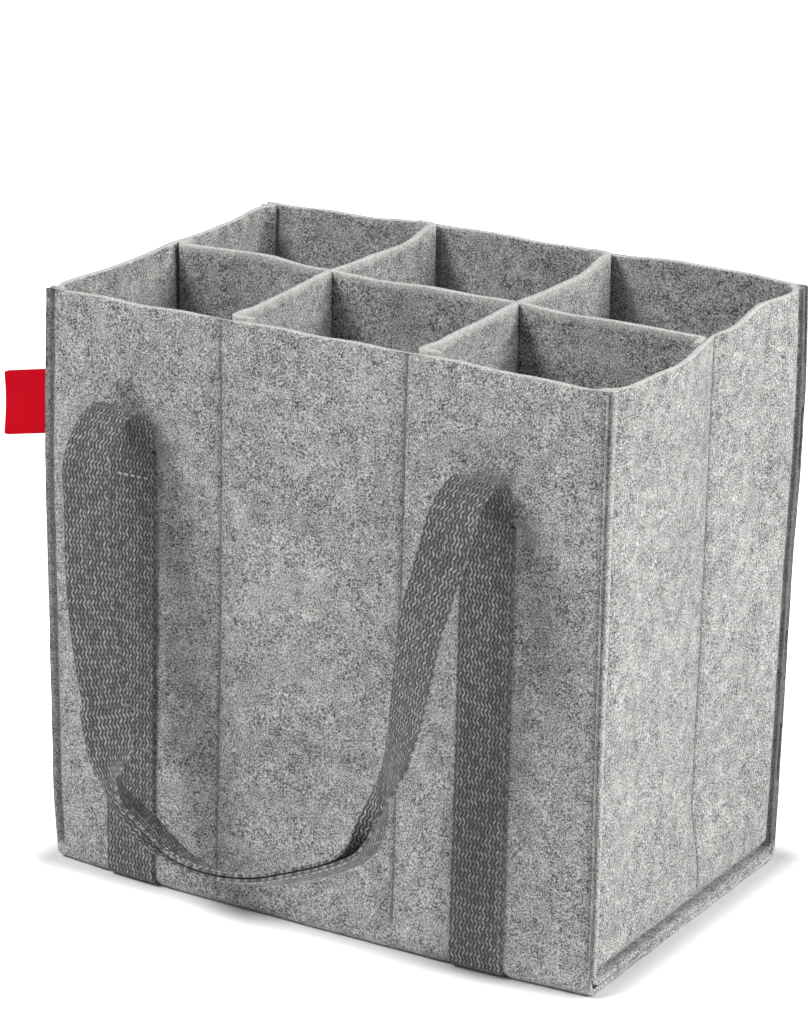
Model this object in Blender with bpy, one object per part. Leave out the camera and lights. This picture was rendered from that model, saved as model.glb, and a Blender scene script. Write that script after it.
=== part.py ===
"""Felt carrier bag with six cells, two webbing straps and two carrying handles.

One felt panel wraps the front, the base and the back. Two felt side panels are
sewn into it with their edges turned outwards. Three slotted dividers make the
cells. Two straps run up the front, under the base and up the back, fold over
at the top and go on as the handles.

Metres, +Z up, X along the bag's width, Y from front to back. The origin is on
the floor under the middle of the bag.
"""
import math

import bmesh
import bpy
from mathutils import Vector

# Bag
WIDTH = 0.276
DEPTH = 0.178
HEIGHT = 0.270

# Felt
FELT = 0.003
BASE_BEND_INNER = 0.006
TURN_INNER = 0.001
SEAM_ALLOWANCE = 0.006
SEAM_STITCH_FROM_EDGE = 0.004
FIT_GAP = 0.0003

# How far the side walls swell out at most, and how far inside a wall the felt
# starts to move with it
RIGHT_SWELL = 0.0115
LEFT_SWELL = 0.0065
SWELL_REACH = 0.016

# Dividers
CROSS_DIVIDER_X = 0.0455
DIVIDER_FLANGE = 0.0080
FLANGE_STITCH = 0.0045

# Webbing
WEB_WIDTH = 0.026
WEB_THICKNESS = 0.0016
LEFT_STRAP_FROM_END = 0.0432
RIGHT_STRAP_FROM_END = 0.0535
STRAP_STITCH_FROM_EDGE = 0.002
FOLD_RADIUS = 0.018
FOLD_BELOW_RIM = 0.065
BARTACK_BELOW_RIM = 0.076
BARTACK_MARGIN = 0.002
STRAP_SIDE_GAP = 0.0005
LIFT_RAMP = 0.0025

# Handles: the lowest point of the loop's middle line above the floor, how far
# that line stands out in front of the legs at most, and the gap between the two
# layers of the grip, where the webbing is folded in half along its length
HANDLE_FLOOR_HEIGHT = 0.0361
HANDLE_FORWARD = 0.0105
GRIP_LAYER_GAP = 0.0005

# Label
LABEL_HEIGHT = 0.030
LABEL_REACH = 0.0194
LABEL_TUCK = 0.0045
LABEL_THICKNESS = 0.0006
LABEL_BELOW_RIM = 0.052

# Thread
THREAD_RADIUS = 0.00035
THREAD_FROM_RIM = 0.002
THREAD_ABOVE_BEND = 0.003
THREAD_SIDES = 6

# Steps of the round stretches
BEND_STEPS = 8
TURN_STEPS = 3
FOLD_STEPS = 14
HANDLE_STEPS = 4
GRIP_BEND_STEPS = 3
LABEL_STEPS = 4
WALL_ROWS = 10
WALL_COLUMNS = 14
CUTTER_MARGIN = 0.010

# The swell of each side wall as a share of the most it stands out. One row for
# each place from front to back (-1 to 1, of half the depth), with one value for
# each height (0 to 1, of the bag's height). The foot and the front right corner
# stay where they are, and the walls stand out most in front of the middle.
SWELL_HEIGHTS = [0.0, 0.11, 0.26, 0.41, 0.56, 0.70, 0.87, 1.0]
SWELL_PLACES = [-1.0, -0.51, 0.05, 0.51, 1.0]
SWELL_SHARES = {
    1: [
        [0.00, 0.04, 0.03, 0.00, 0.00, 0.00, 0.00, 0.00],
        [0.00, 0.17, 0.33, 0.43, 0.54, 0.63, 0.78, 1.00],
        [0.00, 0.13, 0.26, 0.35, 0.39, 0.43, 0.49, 0.57],
        [0.00, 0.13, 0.28, 0.38, 0.47, 0.52, 0.57, 0.59],
        [0.00, 0.06, 0.12, 0.17, 0.23, 0.37, 0.41, 0.33],
    ],
    -1: [
        [0.00, 0.34, 0.42, 0.51, 0.57, 0.65, 0.49, 0.35],
        [0.00, 0.40, 0.55, 0.69, 0.80, 0.86, 0.86, 0.83],
        [0.00, 0.31, 0.46, 0.58, 0.71, 0.83, 0.95, 1.00],
        [0.00, 0.34, 0.49, 0.62, 0.71, 0.77, 0.75, 0.69],
        [0.00, 0.15, 0.25, 0.34, 0.40, 0.43, 0.34, 0.23],
    ],
}

# The middle line of one handle loop, from its left end to its right end. Each
# row holds the way across from the left strap to the right strap (0 to 1), the
# way down from the fold to the lowest point (0 to 1), how far the line stands in
# front of the leg's plane (0 to 1, of HANDLE_FORWARD), how far the webbing has
# turned about its own length (degrees), and how far it is folded in half along
# its length (0 is flat, 1 is closed).
HANDLE_ROUTE = [
    (0.000, 0.000, 0.00, 0.0, 0.00),
    (0.002, 0.083, 0.02, -1.0, 0.00),
    (0.008, 0.178, 0.11, -2.0, 0.00),
    (0.017, 0.284, 0.21, -2.0, 0.00),
    (0.031, 0.389, 0.27, -3.0, 0.00),
    (0.048, 0.495, 0.31, -5.0, 0.00),
    (0.070, 0.592, 0.41, -8.0, 0.00),
    (0.091, 0.671, 0.58, -8.0, 0.00),
    (0.108, 0.733, 0.78, 3.0, 0.05),
    (0.119, 0.777, 0.97, 26.0, 0.17),
    (0.141, 0.817, 0.91, 44.0, 0.32),
    (0.177, 0.857, 0.57, 37.0, 0.53),
    (0.229, 0.909, 0.33, 18.0, 0.80),
    (0.305, 0.969, 0.41, -5.0, 0.99),
    (0.417, 0.999, 0.57, -21.0, 1.00),
    (0.544, 0.987, 0.61, -27.0, 1.00),
    (0.660, 0.946, 0.51, -30.0, 1.00),
    (0.761, 0.897, 0.30, -28.0, 1.00),
    (0.827, 0.845, 0.10, -31.0, 0.86),
    (0.851, 0.780, -0.03, -42.0, 0.57),
    (0.856, 0.697, -0.14, -52.0, 0.20),
    (0.869, 0.604, -0.25, -44.0, 0.00),
    (0.893, 0.488, -0.30, -26.0, 0.00),
    (0.916, 0.360, -0.15, -17.0, 0.00),
    (0.943, 0.228, 0.10, -9.0, 0.00),
    (0.971, 0.114, 0.06, -3.0, 0.00),
    (1.000, 0.000, 0.00, 0.0, 0.00),
]

# Sizes that follow from those above
BASE_BEND_OUTER = BASE_BEND_INNER + FELT
TURN_OUTER = TURN_INNER + FELT
HALF_WIDTH = WIDTH / 2
HALF_DEPTH = DEPTH / 2
BEND_Y = HALF_DEPTH - BASE_BEND_OUTER
WRAP_INNER_Y = HALF_DEPTH - FELT
WALL_OUTER_X = HALF_WIDTH - SEAM_ALLOWANCE
WALL_INNER_X = WALL_OUTER_X - FELT
BASE_LIFT = WEB_THICKNESS + FIT_GAP
DIVIDER_FOOT = FELT + BASE_LIFT + FIT_GAP
DIVIDER_MIDDLE = (DIVIDER_FOOT + HEIGHT) / 2
STRAP_FACE_Y = HALF_DEPTH + FIT_GAP + WEB_THICKNESS
STRAP_MIDDLE_Y = HALF_DEPTH + FIT_GAP + WEB_THICKNESS / 2
HINGE_Y = STRAP_MIDDLE_Y + FOLD_RADIUS
LEG_Y = HINGE_Y + FOLD_RADIUS
FOLD_Z = HEIGHT - FOLD_BELOW_RIM
HINGE_Z = FOLD_Z + FOLD_RADIUS
WEB_TOP_Z = FOLD_Z - FIT_GAP
LEFT_STRAP_X = LEFT_STRAP_FROM_END - HALF_WIDTH
RIGHT_STRAP_X = HALF_WIDTH - RIGHT_STRAP_FROM_END
STRAP_XS = {"left": LEFT_STRAP_X, "right": RIGHT_STRAP_X}
FACES = {"front": -1, "back": 1}
SIDES = {"left": -1, "right": 1}
MOST_SWELL = {-1: LEFT_SWELL, 1: RIGHT_SWELL}
SWELL_FULL_X = WALL_INNER_X - FIT_GAP - TURN_OUTER
WALL_LEVELS = [HEIGHT * row / WALL_ROWS for row in range(1, WALL_ROWS)]


def clear_scene():
    """Remove what the open file holds."""
    for item in list(bpy.data.objects):
        bpy.data.objects.remove(item, do_unlink=True)


def make_material(name, colour, roughness):
    """Return a new Principled material for one piece."""
    material = bpy.data.materials.new(name)
    material.use_nodes = True
    shader = material.node_tree.nodes["Principled BSDF"]
    shader.inputs["Base Color"].default_value = (*colour, 1.0)
    shader.inputs["Roughness"].default_value = roughness
    shader.inputs["Metallic"].default_value = 0.0
    return material


FINISHES = {
    "felt": ((0.36, 0.36, 0.35), 0.95),
    "webbing": ((0.16, 0.165, 0.165), 0.80),
    "label": ((0.60, 0.010, 0.030), 0.60),
    "thread": ((0.28, 0.28, 0.28), 0.70),
}


def smooth_value(places, values, place):
    """Read a smooth curve through the values at the given places."""
    place = min(max(place, places[0]), places[-1])
    last = len(places) - 1
    index = max(i for i in range(last) if places[i] <= place)
    slopes = []
    for i in (index, index + 1):
        before = max(i - 1, 0)
        after = min(i + 1, last)
        slopes.append((values[after] - values[before]) / (places[after] - places[before]))
    step = places[index + 1] - places[index]
    t = (place - places[index]) / step
    curve = (2 * t ** 3 - 3 * t ** 2 + 1) * values[index] + (3 * t ** 2 - 2 * t ** 3) * values[index + 1]
    curve += ((t ** 3 - 2 * t ** 2 + t) * slopes[0] + (t ** 3 - t ** 2) * slopes[1]) * step
    return curve


def stand_out(point):
    """Move a point of the sewn bag outwards with the swell of its side wall."""
    x, y, z = point
    side = -1 if x < 0 else 1
    inside = min(max((abs(x) - SWELL_FULL_X) / SWELL_REACH + 1.0, 0.0), 1.0)
    if inside == 0.0:
        return Vector(point)
    rows = [smooth_value(SWELL_HEIGHTS, row, z / HEIGHT) for row in SWELL_SHARES[side]]
    swell = MOST_SWELL[side] * smooth_value(SWELL_PLACES, rows, y / HALF_DEPTH)
    return Vector((x + side * swell * inside ** 2 * (3 - 2 * inside), y, z))


def add_object(name, points, faces, finish, origin=(0.0, 0.0, 0.0), smooth_angle=35.0):
    """Make one named object from world points, with its origin at the given place."""
    origin = Vector(origin)
    if finish != "webbing":
        points = [stand_out(point) for point in points]
    mesh = bpy.data.meshes.new(name)
    mesh.from_pydata([Vector(point) - origin for point in points], [], faces)
    work = bmesh.new()
    work.from_mesh(mesh)
    bmesh.ops.recalc_face_normals(work, faces=work.faces)
    work.to_mesh(mesh)
    work.free()
    mesh.shade_smooth()
    mesh.set_sharp_from_angle(angle=math.radians(smooth_angle))
    colour, roughness = FINISHES[finish]
    mesh.materials.append(make_material(name, colour, roughness))
    piece = bpy.data.objects.new(name, mesh)
    piece.location = origin
    bpy.context.scene.collection.objects.link(piece)
    return piece


def add_loft(name, sections, finish, origin=(0.0, 0.0, 0.0)):
    """Join closed sections of equal count into one solid with flat ends."""
    count = len(sections[0])
    points = [point for section in sections for point in section]
    faces = [list(range(count))]
    for row in range(len(sections) - 1):
        low = row * count
        high = low + count
        for index in range(count):
            follower = (index + 1) % count
            faces.append([low + index, low + follower, high + follower, high + index])
    faces.append(list(range(len(points) - count, len(points))))
    return add_object(name, points, faces, finish, origin)


def add_cutter(name, low, high):
    """Make a box that only cuts other pieces."""
    section = [(low[0], low[1]), (high[0], low[1]), (high[0], high[1]), (low[0], high[1])]
    cutter = add_loft(name, [[(x, y, z) for x, y in section] for z in (low[2], high[2])], "felt")
    cutter.hide_render = True
    cutter.display_type = "WIRE"
    return cutter


def cut(piece, cutter):
    """Take the cutter's box out of a piece."""
    modifier = piece.modifiers.new(cutter.name, "BOOLEAN")
    modifier.operation = "DIFFERENCE"
    modifier.solver = "EXACT"
    modifier.object = cutter


def arc(centre, radius, start, end, steps):
    """Points on an arc between two angles in degrees."""
    points = []
    for step in range(steps + 1):
        angle = math.radians(start + (end - start) * step / steps)
        points.append((centre[0] + radius * math.cos(angle), centre[1] + radius * math.sin(angle)))
    return points


def trough(half_span, radius, lift, base_steps=1):
    """The (y, z) line down the front, along the base and up the back."""
    centre_y = half_span - radius
    centre_z = BASE_BEND_OUTER + lift
    levels = [z for z in WALL_LEVELS if z > centre_z + LIFT_RAMP]
    line = [(-half_span, z) for z in [HEIGHT] + levels[::-1]]
    line += arc((-centre_y, centre_z), radius, 180, 270, BEND_STEPS)
    for step in range(1, base_steps):
        line.append((centre_y * (2 * step / base_steps - 1), centre_z - radius))
    line += arc((centre_y, centre_z), radius, 270, 360, BEND_STEPS)
    line += [(half_span, z) for z in levels + [HEIGHT]]
    return line


def wrap_section(x, lift):
    """The wrap panel's outline where its base is lifted by the given height."""
    outer = trough(HALF_DEPTH, BASE_BEND_OUTER, lift)
    inner = trough(WRAP_INNER_Y, BASE_BEND_INNER, lift)
    return [(x, y, z) for y, z in outer + inner[::-1]]


def make_wrap_panel():
    """Front, base and back in one felt panel, which lifts over the two straps."""
    sections = [wrap_section(-HALF_WIDTH, 0.0)]
    half_channel = WEB_WIDTH / 2 + STRAP_SIDE_GAP
    for strap_x in (LEFT_STRAP_X, RIGHT_STRAP_X):
        sections.append(wrap_section(strap_x - half_channel - LIFT_RAMP, 0.0))
        sections.append(wrap_section(strap_x - half_channel, BASE_LIFT))
        sections.append(wrap_section(strap_x + half_channel, BASE_LIFT))
        sections.append(wrap_section(strap_x + half_channel + LIFT_RAMP, 0.0))
    sections.append(wrap_section(HALF_WIDTH, 0.0))
    return add_loft("wrap_panel", sections, "felt")


def side_ring(side, x, inset):
    """A line round the side panel, held back from the wrap's inner face."""
    line = trough(WRAP_INNER_Y - inset, BASE_BEND_INNER - inset, 0.0, WALL_COLUMNS)
    return [(side * x, y, z) for y, z in line]


def turn_rings(side, radius):
    """The rings of one skin of a side panel, from the flange's edge to the wall."""
    centre_x = WALL_OUTER_X + TURN_INNER
    centre_inset = FIT_GAP + TURN_OUTER
    rings = [side_ring(side, HALF_WIDTH, centre_inset - radius)]
    for x_step, inset_step in arc((0.0, 0.0), radius, 0, 90, TURN_STEPS):
        rings.append(side_ring(side, centre_x - inset_step, centre_inset - x_step))
    return rings


def wall_rows(points, ring, count):
    """Fill a ring of points with rows from front to back, and list each row's points."""
    pairs = (count - WALL_COLUMNS + 1) // 2
    rows = []
    for index in range(pairs - 1):
        front = ring * count + index
        back = ring * count + count - 1 - index
        row = [front]
        for column in range(1, WALL_COLUMNS):
            share = column / WALL_COLUMNS
            row.append(len(points))
            points.append(tuple(a + (b - a) * share for a, b in zip(points[front], points[back])))
        rows.append(row + [back])
    rows.append([ring * count + index for index in range(pairs - 1, count - pairs + 1)])
    return rows


def make_side_panel(name, side):
    """A side wall whose edges turn outwards and lie inside the wrap panel."""
    rings = turn_rings(side, TURN_OUTER) + turn_rings(side, TURN_INNER)
    count = len(rings[0])
    half = len(rings) // 2
    points = [point for ring in rings for point in ring]
    faces = []
    joins = [(row, row + 1) for row in range(half - 1)]
    joins += [(row, row + 1) for row in range(half, 2 * half - 1)]
    joins.append((0, half))
    for first, second in joins:
        for index in range(count - 1):
            low = first * count + index
            high = second * count + index
            faces.append([low, low + 1, high + 1, high])
    rims = []
    for first in (0, half):
        rows = wall_rows(points, first + half - 1, count)
        for upper, lower in zip(rows, rows[1:]):
            for index in range(WALL_COLUMNS):
                faces.append([upper[index], upper[index + 1], lower[index + 1], lower[index]])
        turn = range(first, first + half - 1)
        rims.append([ring * count for ring in turn] + rows[0] + [ring * count + count - 1 for ring in reversed(turn)])
    inner, outer = rims
    for index in range(len(inner) - 1):
        faces.append([inner[index], inner[index + 1], outer[index + 1], outer[index]])
    return add_object(name, points, faces, "felt")


def divider_half(half_length):
    """One end of a divider in plan, with its flange turned to the plate's second side."""
    plate = FELT / 2
    start = -half_length
    turned = arc((start + TURN_OUTER, plate + TURN_INNER), TURN_INNER, 270, 180, TURN_STEPS)
    tip = [(start + FELT, plate + DIVIDER_FLANGE), (start, plate + DIVIDER_FLANGE)]
    back = arc((start + TURN_OUTER, TURN_OUTER - plate), TURN_OUTER, 180, 270, TURN_STEPS)
    return turned + tip + back


def divider_section(half_length):
    """A divider in plan: the second end is the first one turned half round."""
    half = divider_half(half_length)
    return half + [(-along, -across) for along, across in half]


def make_long_divider():
    """The divider along the bag, slotted from the top."""
    plan = divider_section(WALL_INNER_X - FIT_GAP)
    sections = [[(x, -y, z) for x, y in plan] for z in [DIVIDER_FOOT] + WALL_LEVELS + [HEIGHT]]
    divider = add_loft("long_divider", sections, "felt")
    half_slot = FELT / 2 + FIT_GAP
    for name, side in SIDES.items():
        middle = side * CROSS_DIVIDER_X
        low = (middle - half_slot, -CUTTER_MARGIN, DIVIDER_MIDDLE - FIT_GAP / 2)
        high = (middle + half_slot, CUTTER_MARGIN, HEIGHT + CUTTER_MARGIN)
        cut(divider, add_cutter("long_divider_slot_" + name, low, high))
    return divider


def bend_shift(z):
    """How far a divider's end draws in beside the wrap panel's bend."""
    drop = max(0.0, BASE_BEND_OUTER - z)
    radius = BASE_BEND_INNER - FIT_GAP
    return radius - math.sqrt(max(0.0, radius * radius - drop * drop))


def make_cross_divider(name, side):
    """A divider from front to back, slotted from below over the long one."""
    middle = side * CROSS_DIVIDER_X
    steps = TURN_STEPS
    levels = [DIVIDER_FOOT + (BASE_BEND_OUTER - DIVIDER_FOOT) * step / steps for step in range(steps + 1)]
    levels.append(HEIGHT)
    sections = []
    for z in levels:
        plan = divider_section(WRAP_INNER_Y - FIT_GAP - bend_shift(z))
        sections.append([(middle - across, along, z) for along, across in plan])
    divider = add_loft(name, sections, "felt")
    half_slot = FELT / 2 + FIT_GAP
    low = (middle - CUTTER_MARGIN, -half_slot, DIVIDER_FOOT - CUTTER_MARGIN)
    high = (middle + CUTTER_MARGIN, half_slot, DIVIDER_MIDDLE + FIT_GAP / 2)
    cut(divider, add_cutter(name + "_slot", low, high))
    return divider


def band_section(centre, across, normal):
    """The four corners of the webbing at one place."""
    half_width = across * (WEB_WIDTH / 2)
    half_thickness = normal * (WEB_THICKNESS / 2)
    corners = ((-1, -1), (1, -1), (1, 1), (-1, 1))
    return [centre + half_width * along + half_thickness * out for along, out in corners]


def make_strap(name, strap_x):
    """A strap sewn up the front, under the base and up the back."""
    radius = BASE_BEND_OUTER + FIT_GAP + WEB_THICKNESS / 2
    centre_z = BASE_BEND_OUTER + BASE_LIFT
    route = [((-STRAP_MIDDLE_Y, WEB_TOP_Z), 180)]
    for sign, start in ((-1, 180), (1, 270)):
        for step in range(BEND_STEPS + 1):
            angle = start + 90 * step / BEND_STEPS
            point = arc((sign * BEND_Y, centre_z), radius, angle, angle, 1)[0]
            route.append((point, angle))
    route.append(((STRAP_MIDDLE_Y, WEB_TOP_Z), 360))
    across = Vector((1, 0, 0))
    sections = []
    for (y, z), angle in route:
        normal = Vector((0, math.cos(math.radians(angle)), math.sin(math.radians(angle))))
        sections.append(band_section(Vector((strap_x, y, z)), across, normal))
    return add_loft(name, sections, "webbing")


def make_fold(name, strap_x, face):
    """The free arch of webbing between a sewn strap and the handle's leg."""
    across = Vector((1, 0, 0))
    sections = []
    for step in range(FOLD_STEPS + 1):
        angle = math.pi * step / FOLD_STEPS
        normal = Vector((0, -face * math.cos(angle), math.sin(angle)))
        centre = Vector((strap_x, face * HINGE_Y, FOLD_Z)) + normal * FOLD_RADIUS
        sections.append(band_section(centre, across, normal))
    return add_loft(name, sections, "webbing")


def smooth_route(rows, steps):
    """Points on a smooth curve through the rows (Catmull-Rom)."""
    first = [2 * a - b for a, b in zip(rows[0], rows[1])]
    last = [2 * a - b for a, b in zip(rows[-1], rows[-2])]
    padded = [first] + [list(row) for row in rows] + [last]
    line = []
    for index in range(1, len(padded) - 2):
        before, here, there, after = padded[index - 1:index + 3]
        for step in range(steps):
            t = step / steps
            point = []
            for a, b, c, d in zip(before, here, there, after):
                curve = 2 * b + (c - a) * t
                curve += (2 * a - 5 * b + 4 * c - d) * t ** 2
                curve += (3 * b - a - 3 * c + d) * t ** 3
                point.append(curve / 2)
            line.append(point)
    line.append(list(rows[-1]))
    return line


def folded_line(closed):
    """The webbing's middle line across its width, folded lengthwise by the given share.

    Each point holds its place beside the fold, its place in front of the fold, and
    the angle at which the line runs there.
    """
    bend = math.radians(90) * min(max(closed, 0.0), 1.0)
    half_bend = math.radians(90) * (WEB_THICKNESS + GRIP_LAYER_GAP) / 2
    half = []
    for step in range(GRIP_BEND_STEPS + 1):
        share = step / GRIP_BEND_STEPS
        if bend > 0:
            beside = half_bend / bend * math.sin(bend * share)
            front = half_bend / bend * (1 - math.cos(bend * share))
        else:
            beside = half_bend * share
            front = 0.0
        half.append((beside, front, bend * share))
    straight = WEB_WIDTH / 2 - half_bend
    half.append((beside + straight * math.cos(bend), front + straight * math.sin(bend), bend))
    return [(-beside, front, -angle) for beside, front, angle in half[:0:-1]] + half


def folded_section(centre, beside_way, front_way, closed):
    """The outline of the webbing at one place of the handle."""
    skins = ([], [])
    for beside, front, angle in folded_line(closed):
        middle = centre + beside_way * beside + front_way * front
        normal = front_way * math.cos(angle) - beside_way * math.sin(angle)
        skins[0].append(middle - normal * (WEB_THICKNESS / 2))
        skins[1].append(middle + normal * (WEB_THICKNESS / 2))
    return skins[0] + skins[1][::-1]


def make_handle(name, face):
    """A carrying handle that hangs in front of its face of the bag."""
    span = RIGHT_STRAP_X - LEFT_STRAP_X
    drop = WEB_TOP_Z - HANDLE_FLOOR_HEIGHT
    rows = smooth_route(HANDLE_ROUTE, HANDLE_STEPS)
    line = []
    for way, down, front, turn, closed in rows:
        y = face * (LEG_Y + HANDLE_FORWARD * front)
        line.append(Vector((LEFT_STRAP_X + span * way, y, WEB_TOP_Z - drop * down)))
    sections = []
    last = len(rows) - 1
    for index, (way, down, front, turn, closed) in enumerate(rows):
        along = (line[min(index + 1, last)] - line[max(index - 1, 0)]).normalized()
        if index in (0, last):
            along = Vector((0, 0, -1 if index == 0 else 1))
        ahead = Vector((0, face, 0))
        level = (ahead - along * ahead.dot(along)).normalized()
        turned = along.cross(level) * -face
        front_way = level * math.cos(math.radians(turn)) + turned * math.sin(math.radians(turn))
        beside_way = along.cross(front_way) * -face
        sections.append(folded_section(line[index], beside_way, front_way, closed))
    return add_loft(name, sections, "webbing", origin=(0.0, face * HINGE_Y, HINGE_Z))


def make_thread(name, start, end):
    """A straight row of stitching as one thread."""
    start = Vector(start)
    end = Vector(end)
    along = (end - start).normalized()
    side = along.orthogonal().normalized()
    other = along.cross(side)
    levels = [z for z in WALL_LEVELS if start.z < z < end.z]
    centres = [start] + [Vector((start.x, start.y, z)) for z in levels] + [end]
    sections = []
    for centre in centres:
        ring = arc((0.0, 0.0), THREAD_RADIUS, 0, 360, THREAD_SIDES)[:-1]
        sections.append([centre + side * a + other * b for a, b in ring])
    return add_loft(name, sections, "thread")


def make_label():
    """The blank tab caught in the front left seam."""
    inner_x = -HALF_WIDTH + LABEL_TUCK
    outer_x = -HALF_WIDTH - LABEL_REACH
    radius = LABEL_THICKNESS / 2
    middle_y = -(WRAP_INNER_Y - FIT_GAP) + radius
    plan = [(inner_x, middle_y + radius)]
    plan += arc((outer_x + radius, middle_y), radius, 90, 270, LABEL_STEPS)
    plan.append((inner_x, middle_y - radius))
    middle_z = HEIGHT - LABEL_BELOW_RIM
    levels = (middle_z - LABEL_HEIGHT / 2, middle_z + LABEL_HEIGHT / 2)
    return add_loft("label", [[(x, y, z) for x, y in plan] for z in levels], "label")


def cut_label_pocket(panel):
    """Press the felt in where the label is caught in the seam."""
    middle_z = HEIGHT - LABEL_BELOW_RIM
    half_height = LABEL_HEIGHT / 2 + FIT_GAP
    face_y = -(WRAP_INNER_Y - FIT_GAP)
    low = (-HALF_WIDTH - CUTTER_MARGIN, face_y - CUTTER_MARGIN, middle_z - half_height)
    high = (-HALF_WIDTH + LABEL_TUCK + FIT_GAP, face_y + LABEL_THICKNESS + FIT_GAP, middle_z + half_height)
    cut(panel, add_cutter("label_pocket", low, high))


def make_seam_threads():
    """The rows that hold the side panels and the dividers."""
    off_face = FIT_GAP + THREAD_RADIUS
    low_z = BASE_BEND_OUTER + BASE_LIFT + THREAD_ABOVE_BEND
    high_z = HEIGHT - THREAD_FROM_RIM
    seam_x = HALF_WIDTH - SEAM_STITCH_FROM_EDGE
    for face_name, face in FACES.items():
        y = face * (HALF_DEPTH + off_face)
        for side_name, side in SIDES.items():
            x = side * seam_x
            make_thread(f"corner_thread_{face_name}_{side_name}", (x, y, low_z), (x, y, high_z))
            x = side * CROSS_DIVIDER_X + face * FLANGE_STITCH
            make_thread(f"divider_thread_{face_name}_{side_name}", (x, y, low_z), (x, y, high_z))
    flange_top = 2 * FELT + FIT_GAP + off_face
    for side_name, side in SIDES.items():
        x = side * (WALL_OUTER_X + off_face)
        y = side * FLANGE_STITCH
        foot = flange_top + TURN_INNER + THREAD_ABOVE_BEND
        make_thread(f"divider_thread_{side_name}", (x, y, foot), (x, y, high_z))
        x = side * seam_x
        make_thread(f"base_thread_{side_name}", (x, -BEND_Y, flange_top), (x, BEND_Y, flange_top))


def make_strap_threads():
    """The rows along the straps' edges and the rows across their tops."""
    low_z = BASE_BEND_OUTER + BASE_LIFT + THREAD_ABOVE_BEND
    bartack_z = HEIGHT - BARTACK_BELOW_RIM
    edge = WEB_WIDTH / 2 - STRAP_STITCH_FROM_EDGE
    bar = WEB_WIDTH / 2 - BARTACK_MARGIN
    for face_name, face in FACES.items():
        y = face * (STRAP_FACE_Y + FIT_GAP + THREAD_RADIUS)
        for strap_name, strap_x in STRAP_XS.items():
            name = f"{face_name}_{strap_name}"
            make_thread(f"bartack_{name}", (strap_x - bar, y, bartack_z), (strap_x + bar, y, bartack_z))
            top_z = bartack_z - 2 * THREAD_RADIUS - FIT_GAP
            for edge_name, sign in (("outer", -1 if strap_x < 0 else 1), ("inner", 1 if strap_x < 0 else -1)):
                x = strap_x + sign * edge
                make_thread(f"strap_thread_{name}_{edge_name}", (x, y, low_z), (x, y, top_z))


def build():
    """Make every piece of the bag."""
    clear_scene()
    make_wrap_panel()
    panels = {name: make_side_panel("side_panel_" + name, side) for name, side in SIDES.items()}
    cut_label_pocket(panels["left"])
    make_long_divider()
    for name, side in SIDES.items():
        make_cross_divider("cross_divider_" + name, side)
    for name, strap_x in STRAP_XS.items():
        make_strap("strap_" + name, strap_x)
        for face_name, face in FACES.items():
            make_fold(f"fold_{face_name}_{name}", strap_x, face)
    for face_name, face in FACES.items():
        make_handle(face_name + "_handle", face)
    make_label()
    make_seam_threads()
    make_strap_threads()


build()
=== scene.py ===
# %% [markdown]
# # A felt carrier bag with six cells
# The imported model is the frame: it says where every piece is and which body
# moves it. Each felt, webbing and thread solid in it is a plain stand-in, so
# every one of them is replaced here by a modelled piece with its own finish.

# %% Load the frame
import math

import bmesh
import bpy
import numpy as np
from mathutils import Matrix, Vector


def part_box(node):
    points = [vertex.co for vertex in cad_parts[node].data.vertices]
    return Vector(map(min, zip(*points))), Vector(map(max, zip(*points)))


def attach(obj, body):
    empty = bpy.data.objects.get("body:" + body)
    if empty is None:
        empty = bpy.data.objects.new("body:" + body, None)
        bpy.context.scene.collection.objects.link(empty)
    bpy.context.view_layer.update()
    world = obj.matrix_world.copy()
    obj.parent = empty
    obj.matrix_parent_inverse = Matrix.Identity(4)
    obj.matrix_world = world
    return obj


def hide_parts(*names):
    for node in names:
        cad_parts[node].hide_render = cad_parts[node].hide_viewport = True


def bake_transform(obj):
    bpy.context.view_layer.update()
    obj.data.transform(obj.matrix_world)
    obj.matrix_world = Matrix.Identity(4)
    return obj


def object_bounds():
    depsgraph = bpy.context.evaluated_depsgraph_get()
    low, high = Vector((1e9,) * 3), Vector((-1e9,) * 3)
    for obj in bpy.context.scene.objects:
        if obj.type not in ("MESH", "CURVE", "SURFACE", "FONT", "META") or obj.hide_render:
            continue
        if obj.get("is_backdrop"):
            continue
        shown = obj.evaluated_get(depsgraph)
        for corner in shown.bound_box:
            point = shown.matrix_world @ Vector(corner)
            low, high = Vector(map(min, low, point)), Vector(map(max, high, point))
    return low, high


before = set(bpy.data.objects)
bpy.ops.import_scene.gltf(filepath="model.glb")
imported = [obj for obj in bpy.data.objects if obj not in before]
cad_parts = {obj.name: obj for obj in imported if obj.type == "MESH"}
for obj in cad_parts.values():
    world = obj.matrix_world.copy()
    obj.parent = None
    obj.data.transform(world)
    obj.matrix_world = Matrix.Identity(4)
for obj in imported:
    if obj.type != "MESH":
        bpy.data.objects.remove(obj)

CAD_BOX = [list(corner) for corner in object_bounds()]
print("CAD box, m:", CAD_BOX)

# %% [markdown]
# ## The camera
# The photograph was taken with a long lens from the front right, a little above
# the bag. The camera here stands on the same line, so that the two pictures can
# be laid over each other.

# %% Camera
CAMERA_TURN = math.radians(30.757)
CAMERA_RISE = math.radians(19.060)
CAMERA_ROLL = math.radians(0.830)
CAMERA_TARGET = Vector((-0.9856, 1.6407, -0.4941))
CAMERA_DISTANCE = 3.875
CAMERA_LENS = 146.25

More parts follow.
